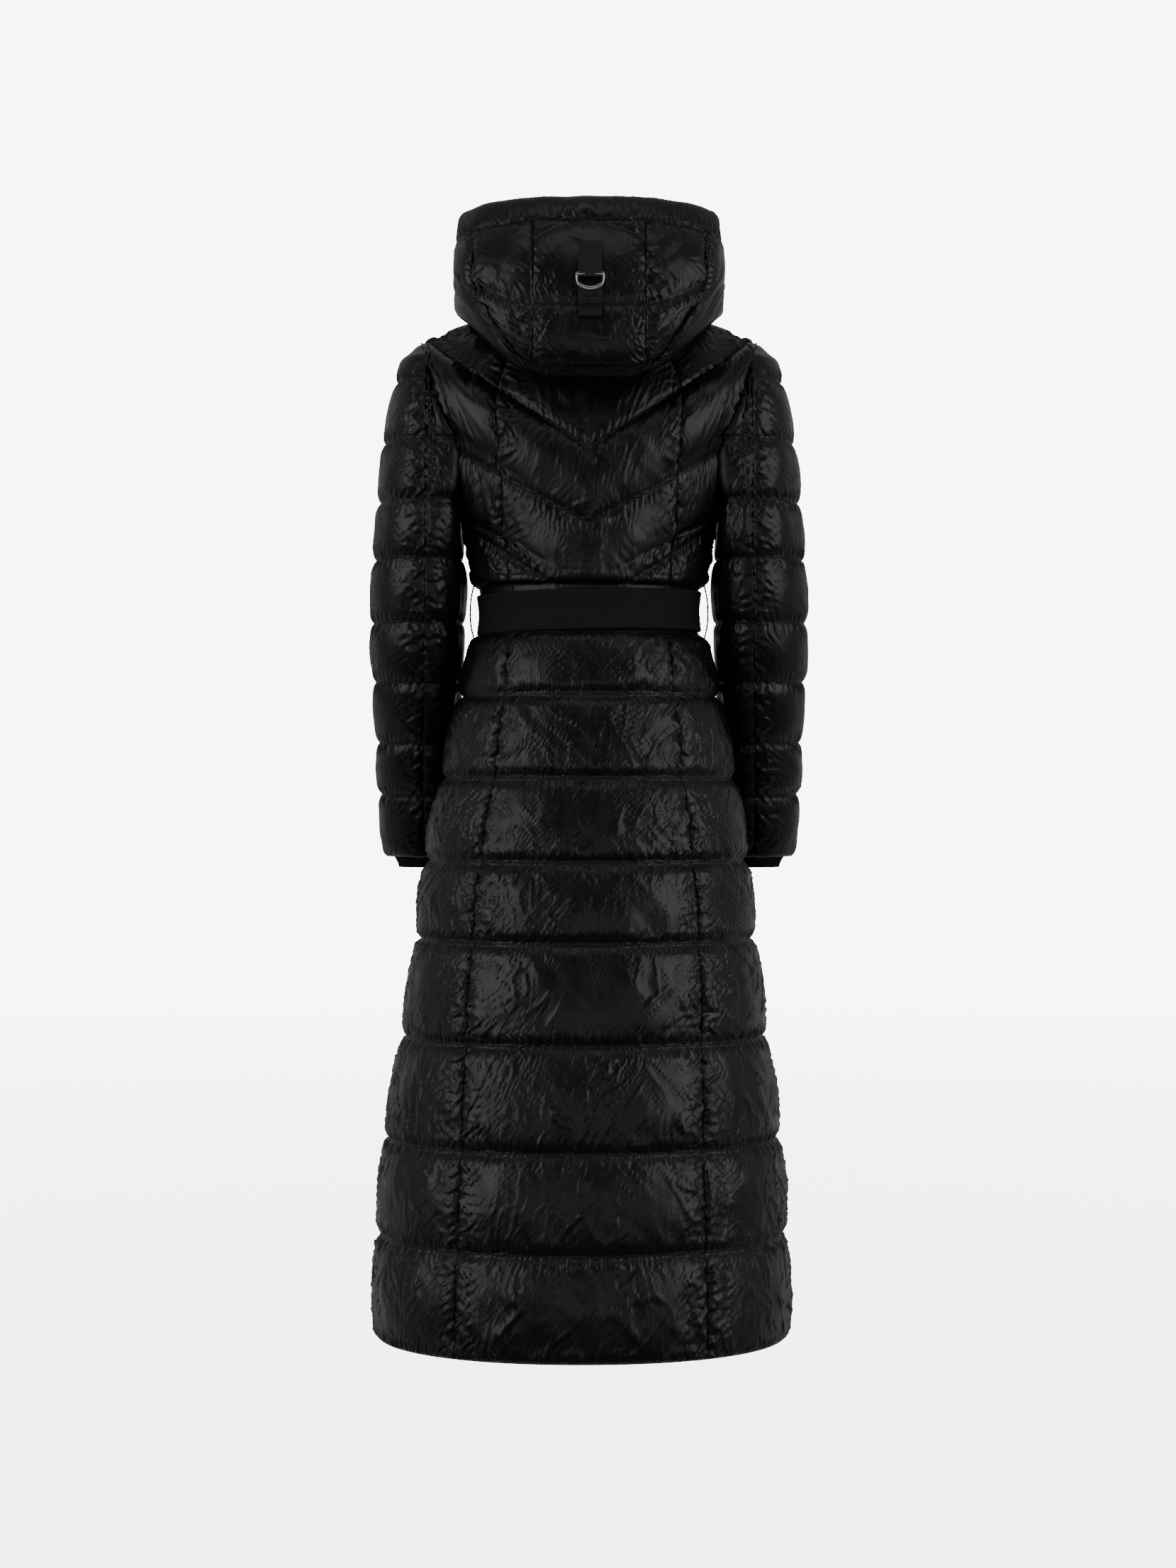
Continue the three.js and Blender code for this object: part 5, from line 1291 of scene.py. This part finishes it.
# Rings of points joined into a tube; closed runs it back into its start, otherwise its ends
# are shut with a fan round their middle.
def addTube(name, rings, material, closed=False, seam=None):
    count, around = rings.shape[:2]
    ids = np.arange(count * around).reshape(count, around)
    wrapped = np.concatenate([ids, ids[:, :1]], axis=1)
    points = rings.reshape(-1, 3)
    if closed:
        wrapped = np.concatenate([wrapped, wrapped[:1]])
    faces = [gridFaces(wrapped)]
    u = np.cumsum(np.pad(np.linalg.norm(np.diff(rings.mean(axis=1), axis=0), axis=-1), (1, 0)))
    v = np.cumsum(np.pad(np.linalg.norm(np.diff(rings[0], axis=0), axis=-1), (1, 0)))
    uv = np.stack(np.broadcast_arrays(u[:, None], v[None, :]), -1).reshape(-1, 2) / 1000
    marks = np.broadcast_to(60.0 if seam is None else seam, (count, around)).ravel() / 1000
    if not closed:
        middles = np.stack([rings[0].mean(axis=0), rings[-1].mean(axis=0)])
        points = np.concatenate([points, middles])
        uv, marks = np.concatenate([uv, uv[[0, -1]]]), np.concatenate([marks, marks[[0, -1]]])
        start, end, turn = len(points) - 2, len(points) - 1, np.arange(around)
        after = (turn + 1) % around
        faces.append(np.stack([ids[0][after], ids[0][turn], np.full(around, start)], 1))
        faces.append(np.stack([ids[-1][turn], ids[-1][after], np.full(around, end)], 1))
    return addMesh(name, points, np.concatenate(faces), material, uv, {"seam": marks})


# Belt: a stitched band round the waist; its outline across is a low rib for each stitched row.
belt = {
    "levels": (-332.0, -355.0, -380.0),
    "halfWidths": (133.2, 130.6, 133.0), "halfDepths": (113.8, 110.8, 110.2),
    "wall": 2.4, "ribs": 7, "ribHeight": 0.45, "steps": 520, "tilt": 2.4,
}


# The belt's surface: an ellipse at each level, lifted over the fly at the front and tilted.
def beltAt(angle, z, offset):
    wrapped = (angle + np.pi) % (2 * np.pi) - np.pi
    overFly = smooth(np.abs(wrapped), np.pi - 0.34, np.pi - 0.24)
    lift = offset + overFly * (fly["wall"] + coat["laidOver"] + 0.8)
    levels = -np.array(belt["levels"])
    width, depth = (np.interp(-z, levels, belt[key]) for key in ("halfWidths", "halfDepths"))
    x, y = (width + lift) * np.sin(angle), (depth + lift) * np.cos(angle)
    return vector(x, y, z - belt["tilt"] * np.sin(angle))


# The outline across the band, from the top of its outer face down and back up its inner face.
def bandOutline(low, high, inset=0.0):
    top, bottom = belt["levels"][0] - inset, belt["levels"][2] + inset
    place = np.linspace(0, 1, belt["ribs"] * 6 + 1)
    rib = np.abs(np.sin(np.pi * place * belt["ribs"])) ** 0.55
    edge = smooth(np.minimum(place, 1 - place), 0, 0.03)
    outer = high - belt["ribHeight"] * (1 - rib) - 0.7 * (1 - edge)
    groove = np.abs(place * belt["ribs"] - np.round(place * belt["ribs"])) / belt["ribs"] * (top - bottom)
    z = np.concatenate([mix(top, bottom, place), [bottom, bottom + 0.6, top - 0.6]])
    offset = np.concatenate([outer, [low + 0.3, low, low]])
    groove = np.concatenate([groove, [60, 60, 60]])
    return z, offset, groove


# The outline carried round the waist, with slow waves along it and a fine ripple.
def addBand(name, start, end, steps, low, high, closed, seed):
    angle = np.linspace(start, end, steps + 1)
    if closed:
        angle = angle[:-1]
    z, offset, groove = bandOutline(low, high, 0.3)
    rng = np.random.default_rng(seed)
    wave = np.interp(angle, np.linspace(start, end, 60), np.concatenate([rng.normal(size=59), [0]]) * 0.5)
    if closed:
        wave[-1] = wave[0]
    ripple = 0.25 * patches(rng, (len(angle), len(z)), 7, 12)
    ripple = ripple * np.where(groove[None, :] < 50, 1, 0)
    rings = beltAt(angle[:, None], z[None, :] + wave[:, None] * 0.5, offset[None, :] + ripple * 0.6)
    return addTube(name, rings, webbing, closed, groove[None, :])


beltPiece = dress(addBand("belt", -np.pi, np.pi, belt["steps"], 0.0, belt["wall"], True, 71), "belt")
# Its free end laps over it at the front, from 4 seventy-seconds of a turn before the middle to
# 7 after it.
beltStep = 2 * (np.pi - 0.0015) / 72
lap = belt["wall"] + coat["laidOver"]
beltEnd = dress(
    addBand("belt_end", np.pi - 4 * beltStep, np.pi + 7 * beltStep, 80, lap, lap + belt["wall"], False, 72),
    "belt_end",
)


# A smooth path through a few points: the cubic through each four neighbours, evenly spaced.
def smoothPath(stops, count, closed):
    stops = np.array(stops, dtype=float)
    if closed:
        stops = np.concatenate([stops[-1:], stops, stops[:2]])
    else:
        stops = np.concatenate([2 * stops[:1] - stops[1:2], stops, 2 * stops[-1:] - stops[-2:-1]])
    t = np.linspace(0, len(stops) - 3, 600)
    low = np.minimum(np.floor(t).astype(int), len(stops) - 4)
    share = (t - low)[:, None]
    a, b, c, d = (stops[low + i] for i in range(4))
    bend, twist = 2 * a - 5 * b + 4 * c - d, 3 * b - a - 3 * c + d
    path = 0.5 * (2 * b + (c - a) * share + bend * share**2 + twist * share**3)
    length = np.concatenate([[0], np.cumsum(np.linalg.norm(np.diff(path, axis=0), axis=1))])
    even = np.linspace(0, length[-1], count + 1)
    path = np.stack([np.interp(even, length, path[:, i]) for i in range(3)], axis=1)
    return path[:-1] if closed else path


# A round wire along a path: a circle set square to the path at each point.
def addWire(name, path, radius, sidewards, sides, material, closed):
    if closed:
        tangent = unit(np.roll(path, -1, axis=0) - np.roll(path, 1, axis=0))
    else:
        tangent = unit(np.gradient(path, axis=0))
    sidewards = np.broadcast_to(sidewards, path.shape)
    first = unit(sidewards - tangent * np.sum(sidewards * tangent, axis=1, keepdims=True))
    second = np.cross(tangent, first)
    turn = np.linspace(0, 2 * np.pi, sides, endpoint=False)[None, :, None]
    size = np.broadcast_to(radius, len(path))[:, None, None]
    rings = path[:, None] + size * (np.cos(turn) * first[:, None] + np.sin(turn) * second[:, None])
    return addTube(name, rings, material, closed)


# Thread loops that hold the belt, of chained thread.
for hand, side in (("L", 1.0), ("R", -1.0)):
    stops = [
        (136.6, 0, -318), (140, 0, -326), (143, 0, -344), (143, 0, -366), (139.5, 0, -384), (137.4, 0, -392),
    ]
    path = smoothPath(np.array(stops) * np.array([side, 1, 1]), 90, False)
    thickness = 0.95 + 0.12 * np.sin(np.arange(91) * np.pi / 1.5)
    loop = addWire(f"belt_loop_{hand}", path, thickness, np.array([0.0, 1, 0]), 10, knit, False)
    dress(loop, f"belt_loop_{hand}")
print("belt made")


# Cuffs of rib knit, sewn inside the sleeve ends and drawn in below them.
cuff = {
    "top": -618.0, "low": -664.0, "wall": 2.0, "ribs": 74, "ribHeight": 0.55,
    "middleX": 207.0, "drawnFrom": 642, "drawnIn": 9,
}


# Level rings inside the sleeve's section, drawn in towards its middle lower down; each rib is
# one wave of a cosine.
def cuffRings(inset, ribbed, levels):
    angle = np.linspace(0, 2 * np.pi, cuff["ribs"] * 8, endpoint=False)
    level = np.maximum(levels, sleeveSeams[-1])[:, None]
    point = sectionAt(angle[None, :], level)
    centre = vector(cuff["middleX"], atLevel(sleeveRows, "midY", level), level)
    share = smooth(-levels, cuff["drawnFrom"], -cuff["low"])[:, None]
    drawnIn = coat["wallIn"] + 0.5 + cuff["drawnIn"] * share + inset
    rib = ribbed * cuff["ribHeight"] * (0.5 - 0.5 * np.cos(angle * cuff["ribs"]))[None, :]
    point = point - unit(point - centre) * (drawnIn + rib)[..., None]
    return vector(point[..., 0], point[..., 1], levels[:, None])


for hand, side in (("L", 1.0), ("R", -1.0)):
    down = np.linspace(cuff["top"], cuff["low"], 24)
    edge = np.array([cuff["low"] - 0.6])
    wall = cuff["wall"]
    rings = np.concatenate([
        cuffRings(0, 1, down), cuffRings(0.5 * wall, 0.5, edge), cuffRings(wall, 0.6, down[::-1][:12]),
        cuffRings(wall, 0, down[:1]),
    ])
    rings = rings * np.array([side, 1, 1])
    rings = np.swapaxes(rings, 0, 1)
    piece = dress(addTube(f"cuff_knit_{hand}", rings, knit, True), f"cuff_knit_{hand}")
print("cuffs made")


# Hood strap: a folded tape down the middle of the crown to two D-rings on a sewn patch.
strap = {"low": -15.0, "high": 12.5, "wall": 2.0}
ring = {"row": 5.6, "wire": 1.3, "halfWidth": 15.5, "height": 17.0}


# A tape over the hood's middle, from rows of the hood and lifts off it, thinner at its edges.
def addTape(name, stations, lifts, wall, crumple=0.0, seed=0):
    rows = np.interp(np.linspace(0, 1, 33), np.linspace(0, 1, len(stations)), stations)
    lift = np.interp(np.linspace(0, 1, 33), np.linspace(0, 1, len(lifts)), lifts)
    x = np.linspace(strap["low"], strap["high"], 21)
    row, place = np.broadcast_arrays(rows[:, None], x[None, :])
    across = onBack(hoodAt, row, place)
    normal = hoodNormal(across, row)
    over = pillowAt(row) + lift[:, None] + coat["wallOut"] + coat["laidOver"]
    points = hoodAt(across, row) + normal * over[..., None]
    rng = np.random.default_rng(seed)
    even = np.linspace(0, 1, 21)[None, :]
    edge = np.minimum(even, 1 - even)
    thick = wall * (0.55 + 0.45 * smooth(edge, 0, 0.06)) - 0.3 * (np.abs(edge - 0.11) < 0.03)
    thick = thick + crumple * np.abs(patches(rng, row.shape, 6, 4))
    outer, inner = points + normal * thick[..., None], points[::4, ::4]
    return dress(addWall(name, outer, inner, tape), name)


# Ribbed tape of the strap.
def tapeLook():
    look = Look("ribbed tape", {"Specular IOR Level": 0.45})
    even = look.clothPlace()
    ribs = look.bands(even, "Y", 260, 0.5)
    fuzz = look.noise(even, 1200, 2)
    colour = look.mixColours(ribs * 0.6 + fuzz * 0.4, (0.005, 0.005, 0.006), (0.014, 0.014, 0.016))
    normal = look.bump(ribs, 0.5, 0.0003)
    return look.finish(colour=colour, roughness=0.5 + fuzz * 0.15, normal=normal)


tape = tapeLook()
strapPiece = addTape("hood_strap", [6.36, 6.2, 6.0, 5.8, 5.64], [0, 0, 0.6, 3.2, 5.4], strap["wall"])
basePiece = addTape("hood_strap_base", [5.5, 5.35, 5.2, 5.1, 4.95], [0.5] * 5, strap["wall"])
tailPiece = addTape("hood_strap_tail", [5.42, 5.36, 5.3, 5.24, 5.18], [3, 4.6, 3.6, 4.8, 3.8], 2.2, 1.2, 81)


# Each ring is a D with its straight bar on top; the second lies over the first, a little lower.
for order in (0, 1):
    row, sidewards = np.array(ring["row"]), np.array([1.0, 0, 0])
    middle = hoodAt(np.array(0.0), row)
    middle[0] = (strap["low"] + strap["high"]) / 2
    normal = hoodNormal(np.array(0.0), row)
    up = unit(np.cross(sidewards, normal))
    up = up if up[2] > 0 else -up
    half, top, low = ring["halfWidth"], ring["height"] / 2, -ring["height"] / 2
    outline = np.array([
        (1.5 - half, top), (0, top), (half - 1.5, top), (half, top - 3), (half - 2, top - 11),
        (half * 0.5, low + 1.5), (0, low), (-half * 0.5, low + 1.5), (2 - half, top - 11), (-half, top - 3),
    ])
    lift = coat["wallOut"] + float(pillowAt(row)) + 3.2 + order * (2 * ring["wire"] + 0.4)
    path = middle + normal * lift + up * (outline[:, 1:] - 3 * order) + sidewards * outline[:, :1]
    name = f"hood_ring_{order + 1}"
    dress(addWire(name, smoothPath(path, 96, True), ring["wire"], normal, 16, steel, True), name)
print("strap and rings made")


# Camera level with the middle of the coat, behind it, as in the photograph.
camera = bpy.data.objects.new("camera", bpy.data.cameras.new("camera"))
camera.location = (0.0013, 3.5, -0.561)
camera.rotation_euler = (np.pi / 2, 0, np.pi)
camera.data.lens = 66.6
camera.data.sensor_width = 36
bpy.context.scene.collection.objects.link(camera)
bpy.context.scene.camera = camera


# Soft studio light: large panels to both sides, one above and a weak one from the front.
def addPanelLight(name, place, target, size, power):
    lamp = bpy.data.lights.new(name, "AREA")
    lamp.shape, lamp.size, lamp.size_y, lamp.energy = "RECTANGLE", size[0], size[1], power
    light = bpy.data.objects.new(name, lamp)
    light.location = place
    aim = np.array(target) - np.array(place)
    turn = np.arctan2(aim[1], aim[0]) - np.pi / 2
    tilt = np.arctan2(aim[2], np.hypot(aim[0], aim[1])) + np.pi / 2
    light.rotation_euler = (tilt, 0, turn)
    bpy.context.scene.collection.objects.link(light)


studio = {
    "left": 39, "right": 41, "top": 9, "low": 4,       # power of the panels
    "seen": 8.0, "ahead": 0.045, "behind": 0.42,       # the white seen behind, and its light
    "floorLevel": -1.262, "floorRadius": 16,
}
addPanelLight("left panel", (2.9, 2.3, 0.1), (0, 0, -0.55), (2.6, 3.0), studio["left"])
addPanelLight("right panel", (-2.9, 2.3, 0.1), (0, 0, -0.55), (2.6, 3.0), studio["right"])
addPanelLight("top panel", (0, 1.7, 2.5), (0, 0, -0.4), (2.6, 1.4), studio["top"])
addPanelLight("low panel", (0, 3.2, -1.1), (0, 0, -0.7), (2.4, 0.7), studio["low"])


# White behind the coat for the camera; the light that falls on it is dim ahead and brighter
# from behind.
def addWorld():
    world = bpy.data.worlds.new("studio")
    world.use_nodes = True
    tree = world.node_tree
    kinds = ("TexCoord", "LightPath", "SeparateXYZ", "MapRange", "Mix")
    place, ray, split, rise, pick = (tree.nodes.new(f"ShaderNode{kind}") for kind in kinds)
    tree.links.new(place.outputs["Generated"], split.inputs[0])
    tree.links.new(split.outputs["Y"], rise.inputs["Value"])
    span = {"From Min": 0.5, "From Max": -0.7, "To Min": studio["ahead"], "To Max": studio["behind"]}
    for key, value in span.items():
        rise.inputs[key].default_value = value
    tree.links.new(ray.outputs["Is Camera Ray"], pick.inputs[0])
    tree.links.new(rise.outputs["Result"], pick.inputs[2])
    pick.inputs[3].default_value = studio["seen"]
    background = tree.nodes["Background"]
    background.inputs["Color"].default_value = (1, 1, 1, 1)
    tree.links.new(pick.outputs[0], background.inputs["Strength"])
    bpy.context.scene.world = world


addWorld()


# A pale floor with painted light: it glows, a little less in the middle round the coat, which paints it
# greyer there, and more outwards till it fades into the white round it.
def floorLook():
    finish = {"Roughness": 0.95, "Specular IOR Level": 0.0, "Emission Strength": studio["seen"]}
    look = Look("pale floor", finish)
    place = look.node("ShaderNodeTexCoord", {}, {}, "Object")
    reach = look.node("ShaderNodeVectorMath", {"operation": "LENGTH"}, {0: place}, "Value")
    fade = look.ramp(reach, 0.6, 7.5)
    return look.finish(
        colour=look.mixColours(fade, (0.85, 0.85, 0.85), (0.0, 0.0, 0.0)),
        # painted light: the glow is 0.62 in the middle, a painted greying near the coat, and rises to full
        # white far out
        glow=look.mixColours(fade, (0.62, 0.62, 0.62), (1.0, 1.0, 1.0)),
    )


# A disc: rings of 96 points from the middle out.
def addFloor(around=96):
    turn = np.linspace(0, 2 * np.pi, around + 1)[:-1]
    radius = np.concatenate([[0.0], np.linspace(0.5, studio["floorRadius"], 40)])[:, None]
    rings = vector(radius * np.cos(turn), radius * np.sin(turn), studio["floorLevel"])
    ids = np.arange(rings.shape[0] * around).reshape(-1, around)
    ids = np.concatenate([ids, ids[:, :1]], axis=1)
    mesh = bpy.data.meshes.new("floor")
    mesh.from_pydata(rings.reshape(-1, 3).tolist(), [], gridFaces(ids)[around:].tolist())
    mesh.materials.append(floorLook())
    floor = bpy.data.objects.new("floor", mesh)
    floor.visible_glossy = False
    floor.visible_diffuse = False
    bpy.context.scene.collection.objects.link(floor)
    return floor


addFloor()
print("studio made")

triangles = [len(piece.data.polygons) for piece in pieces.values()]
print("triangles", sum(triangles), "most in one piece", max(triangles))


# A box as plain numbers.
def plain(box):
    return [[float(value) for value in corner] for corner in box]
